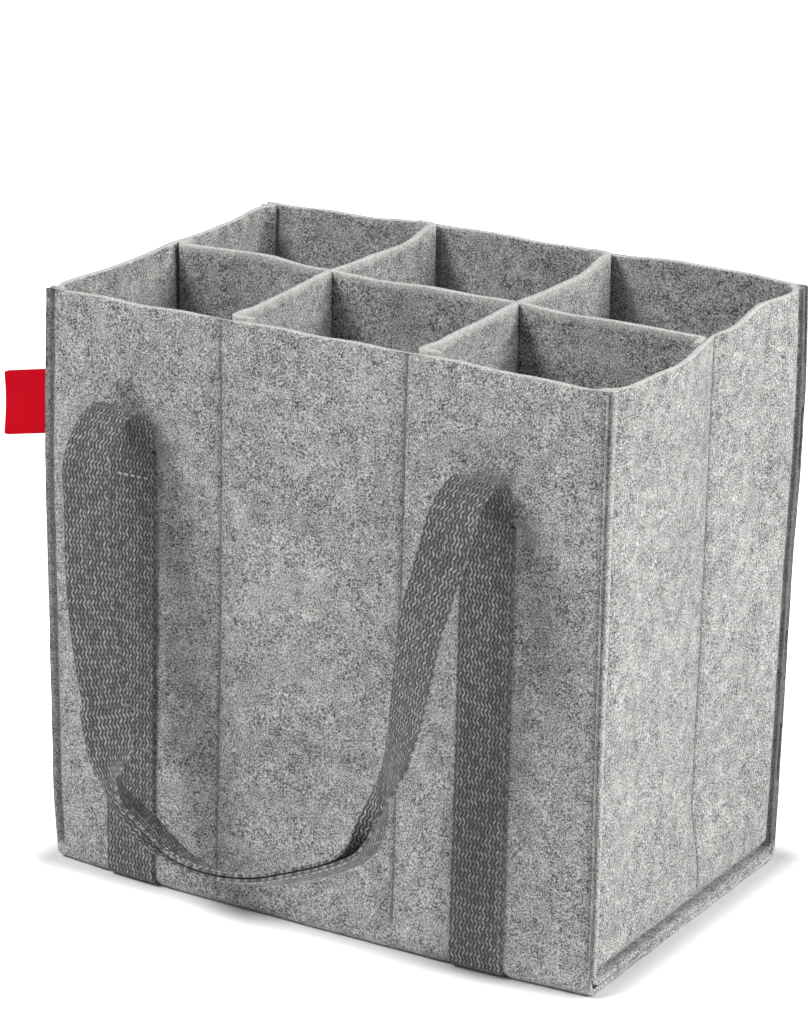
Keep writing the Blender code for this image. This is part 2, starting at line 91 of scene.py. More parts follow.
turn_sin, turn_cos = math.sin(CAMERA_TURN), math.cos(CAMERA_TURN)
rise_sin, rise_cos = math.sin(CAMERA_RISE), math.cos(CAMERA_RISE)
toward_camera = Vector((turn_sin * rise_cos, -turn_cos * rise_cos, rise_sin))
level_right = Vector((turn_cos, turn_sin, 0.0))
level_up = toward_camera.cross(level_right)
camera_right = level_right * math.cos(CAMERA_ROLL) + level_up * math.sin(CAMERA_ROLL)
camera_up = level_up * math.cos(CAMERA_ROLL) - level_right * math.sin(CAMERA_ROLL)
camera_turn = Matrix((camera_right, camera_up, toward_camera)).transposed()
bpy.ops.object.camera_add(
    location=CAMERA_TARGET + toward_camera * CAMERA_DISTANCE, rotation=camera_turn.to_euler()
)
camera = bpy.context.object
camera.data.lens = CAMERA_LENS
camera.data.sensor_width = 36.0
camera.data.clip_start = 0.1
bpy.context.scene.camera = camera
bpy.context.scene.view_settings.view_transform = "Standard"
print("camera at", [round(value, 3) for value in camera.location])

# %% [markdown]
# ## Sizes
# The sizes come from the frame where it holds them, and the rest are the sizes
# that the solids were made to: 3 mm felt and 26 mm webbing. The bend at the foot
# is drawn a little tighter, as the load presses it.

# %% Sizes
panel_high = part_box("wrap_panel")[1]
strap_low, strap_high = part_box("strap_left")
right_strap_low, right_strap_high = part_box("strap_right")

HALF_WIDTH = 0.138
HALF_DEPTH = panel_high.y
HEIGHT = panel_high.z
FELT = 0.003
FIT_GAP = 0.0003
BEND_OUTER = 0.0055
BEND_Y = HALF_DEPTH - BEND_OUTER
INNER_Y = HALF_DEPTH - FELT
SEAM_ALLOWANCE = 0.006
WALL_X = HALF_WIDTH - SEAM_ALLOWANCE
TURN_RADIUS = 0.0025
WEB_WIDTH = strap_high.x - strap_low.x
WEB_THICKNESS = 0.0016
BASE_LIFT = WEB_THICKNESS + FIT_GAP
STRAP_TOP = strap_high.z
STRAP_Y = HALF_DEPTH + FIT_GAP + WEB_THICKNESS / 2
STRAP_X = {
    "left": (strap_low.x + strap_high.x) / 2,
    "right": (right_strap_low.x + right_strap_high.x) / 2,
}
FOLD_RADIUS = 0.018
LEFT_SEAM_INSET = 0.0036
RIGHT_SEAM_INSET = 0.0025
SEAM_PLACES = {-1: -(HALF_WIDTH - LEFT_SEAM_INSET), 1: HALF_WIDTH - RIGHT_SEAM_INSET}
DIVIDER_X = 0.0455
DIVIDER_STITCH = 0.0045
DIVIDER_TURNED_END = 0.008
DIVIDER_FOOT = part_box("long_divider")[0].z
DIVIDER_MIDDLE = (DIVIDER_FOOT + HEIGHT) / 2
STITCH_LOW = 0.0139
STITCH_HIGH = HEIGHT - 0.002
FACES = {"front": -1, "back": 1}
SIDES = {"left": -1, "right": 1}
print("bag", HALF_WIDTH * 2, "x", HALF_DEPTH * 2, "x", HEIGHT, "m, straps at", STRAP_X)

# %% [markdown]
# ## Selecting by place
# By hand, one would click on an edge. In code, an edge is chosen by where its
# two ends are. Everything is deselected first, because an operator works on all
# that is selected.

# %% Helpers for edit mode
def start_edit(piece):
    """Open one piece in edit mode with nothing selected."""
    bpy.ops.object.select_all(action="DESELECT")
    piece.select_set(True)
    bpy.context.view_layer.objects.active = piece
    bpy.ops.object.mode_set(mode="EDIT")
    bpy.ops.mesh.select_mode(type="EDGE")
    bpy.ops.mesh.select_all(action="DESELECT")


def pick_edges(test):
    """Select only the edges whose two ends pass the test."""
    bpy.ops.mesh.select_all(action="DESELECT")
    mesh = bpy.context.object.data
    work = bmesh.from_edit_mesh(mesh)
    for edge in work.edges:
        edge.select = bool(test(edge.verts[0].co, edge.verts[1].co))
    work.select_flush_mode()
    bmesh.update_edit_mesh(mesh)


def pick_points(test):
    """Select only the points that pass the test."""
    bpy.ops.mesh.select_mode(type="VERT")
    mesh = bpy.context.object.data
    work = bmesh.from_edit_mesh(mesh)
    for point in work.verts:
        point.select = bool(test(point.co))
    work.select_flush_mode()
    bmesh.update_edit_mesh(mesh)


def delete_faces(test):
    """Delete the faces whose middle passes the test."""
    mesh = bpy.context.object.data
    bpy.ops.mesh.select_mode(type="FACE")
    bpy.ops.mesh.select_all(action="DESELECT")
    work = bmesh.from_edit_mesh(mesh)
    for face in work.faces:
        face.select = bool(test(face.calc_center_median()))
    bmesh.update_edit_mesh(mesh)
    bpy.ops.mesh.delete(type="FACE")
    bpy.ops.mesh.select_mode(type="EDGE")


def cut_rows(places, axis):
    """Cut new rows of points across the whole piece at the given places."""
    normal = Vector((0.0, 0.0, 0.0))
    normal[axis] = 1.0
    for place in places:
        bpy.ops.mesh.select_all(action="SELECT")
        bpy.ops.mesh.bisect(plane_co=normal * place, plane_no=normal)


def close_edit():
    """Leave edit mode with the normals facing one way."""
    bpy.ops.mesh.select_all(action="SELECT")
    bpy.ops.mesh.normals_make_consistent(inside=False)
    bpy.ops.object.mode_set(mode="OBJECT")


def apply_modifier(piece, kind, **settings):
    """Add one modifier and apply it at once."""
    bpy.context.view_layer.objects.active = piece
    modifier = piece.modifiers.new(kind.lower(), kind)
    for name, value in settings.items():
        setattr(modifier, name, value)
    bpy.ops.object.modifier_apply(modifier=modifier.name)


def apply_place(piece):
    """Put a piece's place into its mesh."""
    bpy.ops.object.select_all(action="DESELECT")
    piece.select_set(True)
    bpy.context.view_layer.objects.active = piece
    bpy.ops.object.transform_apply(location=True, rotation=True, scale=True)


def flat_sheet(name, width, length, place, upright=False):
    """A flat sheet at its size and place: lying down, or standing along X."""
    bpy.ops.mesh.primitive_plane_add(size=1.0, location=place)
    piece = bpy.context.object
    piece.name = name
    piece.data.name = name
    piece.scale = (width, length, 1.0)
    if upright:
        piece.rotation_euler = (math.radians(90), 0.0, 0.0)
    apply_place(piece)
    return piece


def own_copy(piece, name):
    """A copy of a piece with its own mesh."""
    copy = piece.copy()
    copy.data = piece.data.copy()
    copy.name = name
    copy.data.name = name
    bpy.context.collection.objects.link(copy)
    return copy


# %% [markdown]
# ## How the filled bag sags
# A soft bag is never a straight box. The side walls swell where the load presses
# them out. The front and the back bulge low down and are drawn in at the rim,
# which also leaves room for the back handle when it is lifted. The rims wave, and
# rise towards the back. Each wall has a small table of how far it stands out at a
# few heights and places across. The side walls' tables are the ones that the
# solids were made with, as shares of the most. The dividers sway back and to the
# left between the walls. A smooth curve runs through each table, and every sewn
# piece is moved by the same rule, so that panels, straps and stitches stay
# together.

# %% The soft shape of the bag
SIDE_HEIGHTS = np.array([0.0, 0.11, 0.26, 0.41, 0.56, 0.70, 0.87, 1.0]) * HEIGHT
SIDE_PLACES = np.array([-1.0, -0.51, 0.05, 0.51, 1.0]) * HALF_DEPTH
RIGHT_SWELL = 0.0115 * np.array([
    [0.00, 0.04, 0.03, 0.00, 0.00, 0.00, 0.00, 0.00],
    [0.00, 0.17, 0.33, 0.43, 0.54, 0.63, 0.78, 1.00],
    [0.00, 0.13, 0.26, 0.35, 0.39, 0.43, 0.49, 0.57],
    [0.00, 0.13, 0.28, 0.38, 0.47, 0.52, 0.57, 0.59],
    [0.00, 0.06, 0.12, 0.17, 0.23, 0.37, 0.41, 0.33],
])
LEFT_SWELL = 0.0065 * np.array([
    [0.00, 0.34, 0.42, 0.51, 0.57, 0.65, 0.49, 0.35],
    [0.00, 0.40, 0.55, 0.69, 0.80, 0.86, 0.86, 0.83],
    [0.00, 0.31, 0.46, 0.58, 0.71, 0.83, 0.95, 1.00],
    [0.00, 0.34, 0.49, 0.62, 0.71, 0.77, 0.75, 0.69],
    [0.00, 0.15, 0.25, 0.34, 0.40, 0.43, 0.34, 0.23],
])
FACE_HEIGHTS = np.array([0.0, 0.03, 0.07, 0.11, 0.15, 0.19, 0.235, 0.270])
FACE_PLACES = np.array([-0.138, -0.094, -0.050, 0.000, 0.041, 0.090, 0.138])
FACE_SWELL = 0.001 * np.array([
    [0.0, 0.0, 0.0, 0.0, 0.0, 0.0, 0.0, 0.0],
    [3.6, 3.0, 2.1, 1.5, 0.9, 0.3, -0.6, -1.5],
    [4.2, 3.4, 2.2, 1.2, 0.4, -0.1, -0.2, 0.0],
    [4.2, 3.6, 2.5, 1.6, 0.8, -0.2, -2.2, -5.0],
    [4.0, 3.2, 1.9, 0.9, 0.1, -0.7, -1.8, -2.8],
    [3.4, 2.9, 2.1, 1.6, 1.1, 0.2, -1.3, -2.8],
    [0.0, 0.0, 0.0, 0.0, 0.0, 0.0, 0.0, 0.0],
])
BACK_SWELL = 0.001 * np.array([
    [0.0, 0.0, 0.0, 0.0, 0.0, 0.0, 0.0, 0.0],
    [2.6, 2.4, 1.9, 1.4, 0.9, 0.4, -0.3, -0.8],
    [2.8, 2.4, 1.8, 1.2, 0.6, 0.2, 0.0, 0.0],
    [3.0, 2.7, 2.2, 1.6, 1.0, 0.3, -0.8, -1.5],
    [2.8, 2.4, 1.8, 1.2, 0.6, 0.2, 0.0, 0.0],
    [2.6, 2.4, 1.9, 1.4, 0.9, 0.4, -0.3, -0.8],
    [0.0, 0.0, 0.0, 0.0, 0.0, 0.0, 0.0, 0.0],
])
SWAY_PLACES = np.array([-0.138, -0.096, -0.050, 0.041, 0.138])
SWAY_BACK = np.array([0.006, 0.009, 0.0050, 0.0060, 0.0056])
SWAY_LEFT = np.array([0.0, 0.002, 0.0065, 0.003, 0.0])
SWAY_HEIGHTS = np.array([0.0, 0.020, 0.065, 0.110, 0.150, 0.200, 0.240, 0.270])
SWAY_GROWTH = np.array([1.8, 1.6, 1.35, 1.2, 1.2, 1.1, 0.9, 0.8])
BACK_RISE = 0.001 * np.array([0.0, 1.0, 3.2, 3.6, 3.6, 5.0, 4.0])
SIDE_RISE = 0.0038
SIDE_RISE_FROM = 0.020
SIDE_RISE_REACH = 0.030
DIVIDER_SAG = 0.0006
SAG_REACH = 0.35
RIM_FROM = 0.15
RIM_REACH = 0.12
SIDE_LEAN = 0.12
FACE_LEAN = 0.10
FOOT_REACH = 0.10
RIPPLES = ((0.0004, 61, 23, 0.0), (0.0003, 143, -117, 1.3))
SWELL_FULL_X = 0.1247
SWELL_REACH_X = 0.016
SWELL_FULL_Y = 0.0817
SWELL_REACH_Y = 0.030


def ease(share):
    """A soft step from 0 to 1."""
    share = np.clip(share, 0, 1)
    return share**2 * (3 - 2 * share)


def toward_rim(height):
    """From 0 in the lower part of the bag to 1 at its rim."""
    return np.clip((height - RIM_FROM) / RIM_REACH, 0, 1)


def smooth_curve(places, values, along):
    """A smooth curve through values at places, read at many points."""
    places = np.asarray(places)
    along = np.clip(along, places[0], places[-1])
    index = np.clip(np.searchsorted(places, along, side="right") - 1, 0, len(places) - 2)
    before = np.maximum(np.arange(len(places)) - 1, 0)
    behind = np.minimum(np.arange(len(places)) + 1, len(places) - 1)
    run = (places[behind] - places[before]).reshape((-1,) + (1,) * (values.ndim - 1))
    slopes = (values[behind] - values[before]) / run
    step = places[index + 1] - places[index]
    t = (along - places[index]) / step
    pick = (index, np.arange(len(along))) if values.ndim == 2 else (index,)
    after = (index + 1, pick[1]) if values.ndim == 2 else (index + 1,)
    low, high, low_slope, high_slope = values[pick], values[after], slopes[pick], slopes[after]
    return (
        (2 * t**3 - 3 * t**2 + 1) * low
        + (t**3 - 2 * t**2 + t) * step * low_slope
        + (3 * t**2 - 2 * t**3) * high
        + (t**3 - t**2) * step * high_slope
    )


def swell(table, heights, places, across, height):
    """How far a wall stands out, in metres, at many points."""
    rows = np.array([smooth_curve(heights, row, height) for row in table])
    return smooth_curve(places, rows, across)


def bag_shape(points):
    """Move points from the straight box to the soft bag."""
    x, y, z = points.T
    at_side = ease((np.abs(x) - SWELL_FULL_X) / SWELL_REACH_X + 1)
    at_face = ease((np.abs(y) - SWELL_FULL_Y) / SWELL_REACH_Y + 1)
    right = swell(RIGHT_SWELL, SIDE_HEIGHTS, SIDE_PLACES, y, z) * at_side * (x > 0)
    left = swell(LEFT_SWELL, SIDE_HEIGHTS, SIDE_PLACES, y, z) * at_side * (x < 0)
    front = swell(FACE_SWELL, FACE_HEIGHTS, FACE_PLACES, x, z) * at_face * (y < 0)
    back = swell(BACK_SWELL, FACE_HEIGHTS, FACE_PLACES, x, z) * at_face * (y > 0)
    upper = toward_rim(z) ** 2
    from_wall = 1.0 - np.maximum(np.abs(x) / WALL_X, np.abs(y) / HALF_DEPTH)
    corner = np.clip(np.abs(x) / HALF_WIDTH, 0, 1) ** 10 * np.clip(np.abs(y) / HALF_DEPTH, 0, 1) ** 4
    ripple = sum(high * np.sin(x * over + y * back_way + start) for high, over, back_way, start in RIPPLES)
    lean = SIDE_LEAN * np.abs(right + left) + FACE_LEAN * np.abs(front + back)
    rise = upper * (ripple * (1 - corner) - DIVIDER_SAG * np.clip(from_wall / SAG_REACH, 0, 1) - lean)
    back_rise = smooth_curve(FACE_PLACES, BACK_RISE, x) * at_face * (y > 0)
    side_rise = SIDE_RISE * ease((y - SIDE_RISE_FROM) / SIDE_RISE_REACH) * at_side * (x > 0)
    rise += upper * np.maximum(back_rise, side_rise)
    between = (1 - np.clip(np.abs(y) / HALF_DEPTH, 0, 1) ** 2) ** 2
    foot = ease(z / FOOT_REACH)
    at_right = ease(x / WALL_X)
    growth = foot + (smooth_curve(SWAY_HEIGHTS, SWAY_GROWTH, z) - foot) * at_right
    sway_back = smooth_curve(SWAY_PLACES, SWAY_BACK, x) * between * growth
    sway_left = smooth_curve(SWAY_PLACES, SWAY_LEFT, x) * between * foot
    return np.stack([x + right - left - sway_left, y - front + back + sway_back, z + rise], axis=1)


def read_points(piece):
    """The piece's points as an array."""
    points = np.empty(len(piece.data.vertices) * 3)
    piece.data.vertices.foreach_get("co", points)
    return points.reshape(-1, 3)


def write_points(piece, points):
    """Put an array of points back into the piece."""
    piece.data.vertices.foreach_set("co", np.ascontiguousarray(points).ravel())
    piece.data.update()


def settle(piece):
    """Give a sewn piece the soft shape of the bag."""
    write_points(piece, bag_shape(read_points(piece)))


print("right wall's swell at the rim, mm:", (RIGHT_SWELL[:, -1] * 1000).round(1))

# %% [markdown]
# ## Shared surface effects
# Felt, webbing, thread and tape all show short fine fibres. The effect is built
# once as a node group: one layer of round specks, and three layers of noise that
# are each stretched another way, so that they read as fibres lying this way and
# that.

# %% Node helpers and the fibre group
def add_node(tree, kind, inputs=None, **settings):
    """Add one node. Inputs may be numbers, colours or other nodes' outputs."""
    node = tree.nodes.new(kind)
    for name, value in settings.items():
        setattr(node, name, value)
    for name, value in (inputs or {}).items():
        if isinstance(value, bpy.types.NodeSocket):
            tree.links.new(value, node.inputs[name])
        else:
            node.inputs[name].default_value = value
    return node


def calculate(tree, operation, first, second=0.0, third=None, clamp=False):
    """One math node."""
    inputs = {0: first, 1: second}
    if third is not None:
        inputs[2] = third
    return add_node(tree, "ShaderNodeMath", inputs, operation=operation, use_clamp=clamp).outputs[0]


def new_group(name, inputs, outputs):
    """A node group with named inputs and outputs, each with its kind of socket."""
    tree = bpy.data.node_groups.new(name, "ShaderNodeTree")
    for sockets, way in ((inputs, "INPUT"), (outputs, "OUTPUT")):
        for label, kind in sockets.items():
            tree.interface.new_socket(label, in_out=way, socket_type=kind)
    return tree, tree.nodes.new("NodeGroupInput"), tree.nodes.new("NodeGroupOutput")


def noise(tree, place, scale, detail, roughness=0.5):
    """Fractal noise from 0 to 1."""
    inputs = {"Vector": place, "Scale": scale, "Detail": detail, "Roughness": roughness}
    return add_node(tree, "ShaderNodeTexNoise", inputs).outputs["Fac"]


def stretched_noise(tree, place, scale, stretch):
    """Noise drawn out along one direction, as fibres are."""
    mapping = add_node(tree, "ShaderNodeMapping", {"Vector": place, "Scale": stretch})
    return noise(tree, mapping.outputs[0], scale, 2.0, 0.6)


FIBRE_WAYS = ((1.9, 1.9, 0.45), (0.5, 1.8, 1.9), (1.8, 0.5, 1.7))
fibres, given, result = new_group(
    "fibres",
    {"Place": "NodeSocketVector", "Scale": "NodeSocketFloat"},
    {"Flecks": "NodeSocketFloat", "Strands": "NodeSocketFloat"},
)
fibre_place, fibre_scale = given.outputs["Place"], given.outputs["Scale"]
speck = noise(fibres, fibre_place, fibre_scale, 3.0, 0.62)
ways = [stretched_noise(fibres, fibre_place, fibre_scale, stretch) for stretch in FIBRE_WAYS]
strands = calculate(fibres, "MAXIMUM", ways[0], calculate(fibres, "MAXIMUM", ways[1], ways[2]))
fibres.links.new(speck, result.inputs["Flecks"])
fibres.links.new(strands, result.inputs["Strands"])
print("group", fibres.name, "with", len(fibres.nodes), "nodes")

# %% [markdown]
# ## Grey wool felt
# The felt is pressed from dark and pale wool. From near, it is a salt and pepper
# of short dark and pale fibres about a millimetre long. From further off, it is
# cloudy, because the two wools are never mixed evenly. A cut edge is paler and
# fluffy, and rims and raw edges are painted paler still, as a painted highlight
# where they catch the light. Along the seams, in the gaps where raw edges meet, on
# corner strips that face away from the light and in the grooves at the foot, the
# colour is painted darker as painted shade. The colour is mixed from noise of
# three sizes, and the bump uses the same noise, so a dark fleck also lies a
# little deeper. A sheen on the shader stands for the fuzz that catches light at
# a flat angle.

# %% Felt
WOOL_SCALE = 1350.0
CLOUD_SCALE = 150.0
PATCH_SCALE = 26.0
# How much dark felt is mixed in where shade is painted.
PAINTED_SHADE_DARK = 0.72
FELT_DARK = (0.050, 0.049, 0.046)
FELT_PALE = (0.900, 0.894, 0.876)
# Paler felt for rims and raw edges: cut wool, and a painted highlight where they catch the light.
FELT_CUT_AND_HIGHLIGHT = (0.80, 0.79, 0.77)


def make_surface(name):
    """A new material with its tree and its Principled shader."""
    material = bpy.data.materials.new(name)
    material.use_nodes = True
    tree = material.node_tree
    return material, tree, tree.nodes["Principled BSDF"]


def object_place(tree):
    """The place on the object, in metres."""
    return add_node(tree, "ShaderNodeTexCoord").outputs["Object"]


def fibre_noise(tree, place, scale):
    """The fibre group at its own scale: its flecks and its strands."""
    node = add_node(tree, "ShaderNodeGroup", {"Place": place, "Scale": scale}, node_tree=fibres)
    return node.outputs["Flecks"], node.outputs["Strands"]


def add_layer(tree, below, layer, weight, taken, clamp=False):
    """Add one layer by its weight, and take a fixed amount off."""
    less = calculate(tree, "SUBTRACT", below, taken)
    return calculate(tree, "MULTIPLY_ADD", layer, weight, less, clamp)


def mix_colours(tree, share, first, second):
    """Mix two colours by a share."""
    node = add_node(tree, "ShaderNodeMix", {0: share}, data_type="RGBA")
    for index, value in ((6, first), (7, second)):
        if isinstance(value, bpy.types.NodeSocket):
            tree.links.new(value, node.inputs[index])
        else:
            node.inputs[index].default_value = (*value, 1.0)
    return node.outputs[2]


def finish_surface(tree, shader, colour, height, strength, distance, values):
    """Link the colour and the bump, and set the shader's plain values."""
    tree.links.new(colour, shader.inputs["Base Color"])
    bump = add_node(tree, "ShaderNodeBump", {"Height": height, "Strength": strength, "Distance": distance})
    tree.links.new(bump.outputs[0], shader.inputs["Normal"])
    for name, value in values.items():
        shader.inputs[name].default_value = value
    print(shader.id_data.name, "has", len(tree.nodes), "nodes")


felt, tree, shader = make_surface("felt")
place = object_place(tree)
flecks, strands = fibre_noise(tree, place, WOOL_SCALE)
clouds = noise(tree, place, CLOUD_SCALE, 3.0, 0.68)
patches = noise(tree, place, PATCH_SCALE, 1.0)
mixed = calculate(tree, "MULTIPLY_ADD", flecks, 2.6, -0.86)
mixed = add_layer(tree, mixed, strands, 1.6, 0.97)
mixed = add_layer(tree, mixed, clouds, 0.72, 0.36)
mixed = add_layer(tree, mixed, patches, 0.20, 0.10, clamp=True)
colour = mix_colours(tree, mixed, FELT_DARK, FELT_PALE)
# Rims and raw edges turn paler, partly for the cut wool and partly as a painted highlight.
cut_edge_and_highlight = add_node(tree, "ShaderNodeAttribute", attribute_name="cut_edge_and_highlight").outputs["Fac"]
fuzz_and_highlight = calculate(tree, "MULTIPLY", cut_edge_and_highlight, calculate(tree, "MULTIPLY_ADD", flecks, 0.9, 0.10))
colour = mix_colours(tree, fuzz_and_highlight, colour, FELT_CUT_AND_HIGHLIGHT)
# Painted shade: along seams, in the gaps where raw edges meet, on corner strips facing away from the light and
# in the foot grooves, the felt is mixed towards dark.
painted_shade = add_node(tree, "ShaderNodeAttribute", attribute_name="painted_shade").outputs["Fac"]
colour = mix_colours(tree, calculate(tree, "MULTIPLY", painted_shade, PAINTED_SHADE_DARK), colour, FELT_DARK)
height = calculate(tree, "MULTIPLY_ADD", strands, 0.7, flecks)
finish_surface(tree, shader, colour, height, 0.55, 0.00045, {
    "Roughness": 0.95, "Specular IOR Level": 0.15, "Sheen Weight": 0.12, "Sheen Roughness": 0.6,
})

# %% [markdown]
# ## Woven webbing
# The webbing is 26 mm wide and has fourteen ribs. In every row of 2.25 mm, each rib
# shows one short pale dash. The dashes lean one way in one row and the other way in
# the next, so a rib runs as a zigzag. It is dark between the dashes, because the
# yarn dives there, and each dash has its own chance tone. The pattern follows the
# band wherever it turns, so it reads the piece's UV map, which holds metres across
# and along the band.

# %% Webbing
WEB_RIBS = 14
WEB_PITCH = WEB_WIDTH / WEB_RIBS
WEB_ROW = 0.00225
WEB_ZIGZAG = 0.0011
SELVEDGE = 0.0007
YARN_SCALE = 1900.0
WEB_DARK = (0.020, 0.021, 0.021)
WEB_MIDDLE = (0.10, 0.103, 0.102)
WEB_PALE = (0.72, 0.735, 0.73)


def band_place(tree):
    """The flat place on a band in metres, whole, and its parts across and along."""
    place = add_node(tree, "ShaderNodeUVMap", uv_map="band").outputs[0]
    parts = add_node(tree, "ShaderNodeSeparateXYZ", {0: place})
    return place, parts.outputs[0], parts.outputs[1]


def ridge(tree, place):
    """A ridge on each whole step: 0 at its two edges and 1 in its middle."""
    wave = calculate(tree, "SINE", calculate(tree, "MULTIPLY", place, math.pi))
    return calculate(tree, "ABSOLUTE", wave)


webbing, tree, shader = make_surface("webbing")
flat_place, across, along = band_place(tree)
row_place = calculate(tree, "DIVIDE", along, WEB_ROW)
to_and_fro = calculate(tree, "PINGPONG", row_place, 1.0)
shifted = calculate(tree, "MULTIPLY_ADD", to_and_fro, WEB_ZIGZAG, across)
rib_place = calculate(tree, "DIVIDE", shifted, WEB_PITCH)
rib = calculate(tree, "POWER", ridge(tree, rib_place), 1.4)
row = calculate(tree, "MULTIPLY_ADD", ridge(tree, row_place), 0.4, 0.6)
weave = calculate(tree, "MULTIPLY", rib, row)
cell = add_node(
    tree, "ShaderNodeCombineXYZ",
    {0: calculate(tree, "FLOOR", rib_place), 1: calculate(tree, "FLOOR", row_place)},
)
chance = add_node(
    tree, "ShaderNodeTexWhiteNoise", {"Vector": cell.outputs[0]}, noise_dimensions="2D"
).outputs["Value"]
yarn_place = add_node(tree, "ShaderNodeCombineXYZ", {0: shifted, 1: along}).outputs[0]
flecks, strands = fibre_noise(tree, yarn_place, YARN_SCALE)
to_edge = calculate(tree, "SUBTRACT", WEB_WIDTH / 2, calculate(tree, "ABSOLUTE", across))
edge_yarn = calculate(tree, "MULTIPLY_ADD", strands, 0.9, -0.15)
edge_yarn = calculate(tree, "MULTIPLY", calculate(tree, "LESS_THAN", to_edge, SELVEDGE), edge_yarn)
weave = calculate(tree, "MAXIMUM", weave, edge_yarn)
tone = calculate(tree, "MULTIPLY_ADD", flecks, 2.3, -0.90)
tone = add_layer(tree, tone, chance, 0.60, 0.24, clamp=True)
colour = mix_colours(tree, tone, WEB_MIDDLE, WEB_PALE)
colour = mix_colours(tree, calculate(tree, "POWER", weave, 1.5), WEB_DARK, colour)
height = calculate(tree, "MULTIPLY_ADD", flecks, 0.3, weave)
finish_surface(tree, shader, colour, height, 0.8, 0.0004, {
    "Roughness": 0.62, "Specular IOR Level": 0.35, "Sheen Weight": 0.10,
})

# %% [markdown]
# ## Thread and tape
# The sewing thread is grey polyester, twisted from fine yarns, and paler in the
# left straps' bars and in the grips. The right straps' bars take the dark thread as
# painted shade, as they sit in the shade of the handles' arches. The red tab is a
# woven tape with fine cross ribs, folded double and left plain.

# %% Thread and label tape
THREAD_SCALE = 2400.0
TAPE_YARN_SCALE = 1500.0
TAPE_RIB = 0.00042
TAPE_WEFT = 0.00030
TAPE_DARK = (0.50, 0.0, 0.008)
TAPE_PALE = (0.80, 0.0, 0.016)


def make_thread(name, dark, pale):
    """Twisted sewing thread between two tones."""
    material, tree, shader = make_surface(name)
    flecks, strands = fibre_noise(tree, object_place(tree), THREAD_SCALE)
    colour = mix_colours(tree, flecks, (dark, dark, dark * 0.98), (pale, pale, pale * 0.98))
    finish_surface(tree, shader, colour, strands, 0.5, 0.0002, {"Roughness": 0.6})
    return material


def wave(tree, place, pitch):
    """A sine wave along a place, one for each pitch."""
    return calculate(tree, "SINE", calculate(tree, "MULTIPLY", place, math.tau / pitch))


thread = make_thread("thread", 0.06, 0.30)
pale_thread = make_thread("pale_thread", 0.35, 0.95)

tape, tree, shader = make_surface("label_tape")
flat_place, across, along = band_place(tree)
crossing = calculate(tree, "MULTIPLY", wave(tree, across, TAPE_RIB), wave(tree, along, TAPE_WEFT))
cloth = calculate(tree, "MULTIPLY_ADD", crossing, 0.5, 0.5)
flecks, strands = fibre_noise(tree, flat_place, TAPE_YARN_SCALE)
tone = calculate(tree, "MULTIPLY_ADD", flecks, 0.7, calculate(tree, "MULTIPLY", cloth, 0.3))
colour = mix_colours(tree, tone, TAPE_DARK, TAPE_PALE)
finish_surface(tree, shader, colour, cloth, 0.35, 0.0002, {"Roughness": 0.7, "Specular IOR Level": 0.08})

# %% [markdown]
# ## Finishing a felt panel
# Each panel is modelled as its middle surface, then given its 3 mm with Solidify
# and its soft edges with Bevel. Displace adds the uneven loft of pressed wool.
# Where a row of stitches pulls the felt in, points near the row sink into the
# surface: that pinch is what shows the seams in soft light. The pinch and a wider
# hollow beside it are painted darker as well, as painted shade.

# %% Felt finishing helpers
PINCH_DEPTH = 0.0007
PINCH_REACH = 0.0009
HOLLOW_DEPTH = 0.0014
HOLLOW_REACH = 0.0075
SEAM_PINCH = PINCH_DEPTH + HOLLOW_DEPTH
ROW_FOOT = 0.004
ROW_FADE = 0.008
SKIN_NEAR = 0.0006
FELT_EDGE = 0.0008


def add_mask(piece, name, values):
    """Store a number from 0 to 1 for each point, for the material."""
    layer = piece.data.attributes.new(name, "FLOAT", "POINT")
    layer.data.foreach_set("value", np.clip(values, 0, 1).astype(np.float32))


felt_relief = bpy.data.textures.new("felt_relief", "CLOUDS")
felt_relief.noise_scale = 0.014
felt_relief.noise_depth = 2


def thicken(piece):
    """Turn a middle surface into felt with soft edges."""
    apply_modifier(piece, "SOLIDIFY", thickness=FELT, offset=0.0, use_even_offset=True)
    apply_modifier(
        piece, "BEVEL", width=FELT_EDGE, segments=2, limit_method="ANGLE", angle_limit=math.radians(55)
    )


def pinch(points, painted_shade, face_axis, face_place, across_axis, place, dark=0.8):
    """Sink one skin of a panel along a row of stitches, and paint shade into the pinch and the hollow beside
    it.
    """
    sign = 1.0 if face_place > 0 else -1.0
    on_skin = np.abs(points[:, face_axis] - face_place) < SKIN_NEAR
    off = np.abs(points[:, across_axis] - place)
    on_row = on_skin * np.clip((points[:, 2] - ROW_FOOT) / ROW_FADE, 0, 1)
    share = np.exp(-((off / PINCH_REACH) ** 2)) * on_row
    hollow = np.exp(-((off / HOLLOW_REACH) ** 2)) * on_row
    points[:, face_axis] -= sign * (PINCH_DEPTH * share + HOLLOW_DEPTH * hollow)
    # Painted shade along the row, fainter over the hollow.
    np.maximum(painted_shade, dark * np.maximum(share, 0.15 * hollow), out=painted_shade)


# Share of paler felt on raw edges: cut wool and painted highlight.
RAW_EDGE_AND_HIGHLIGHT = 0.45
RAW_FOOT = 0.008
END_BAND = 0.0015
MEET_PLACE = INNER_Y + 0.0004
MEET_REACH = 0.0012
MEET_DEPTH = 0.0013
CORNER_Y = 0.0815
FOOT_EDGE_REACH = 0.0016


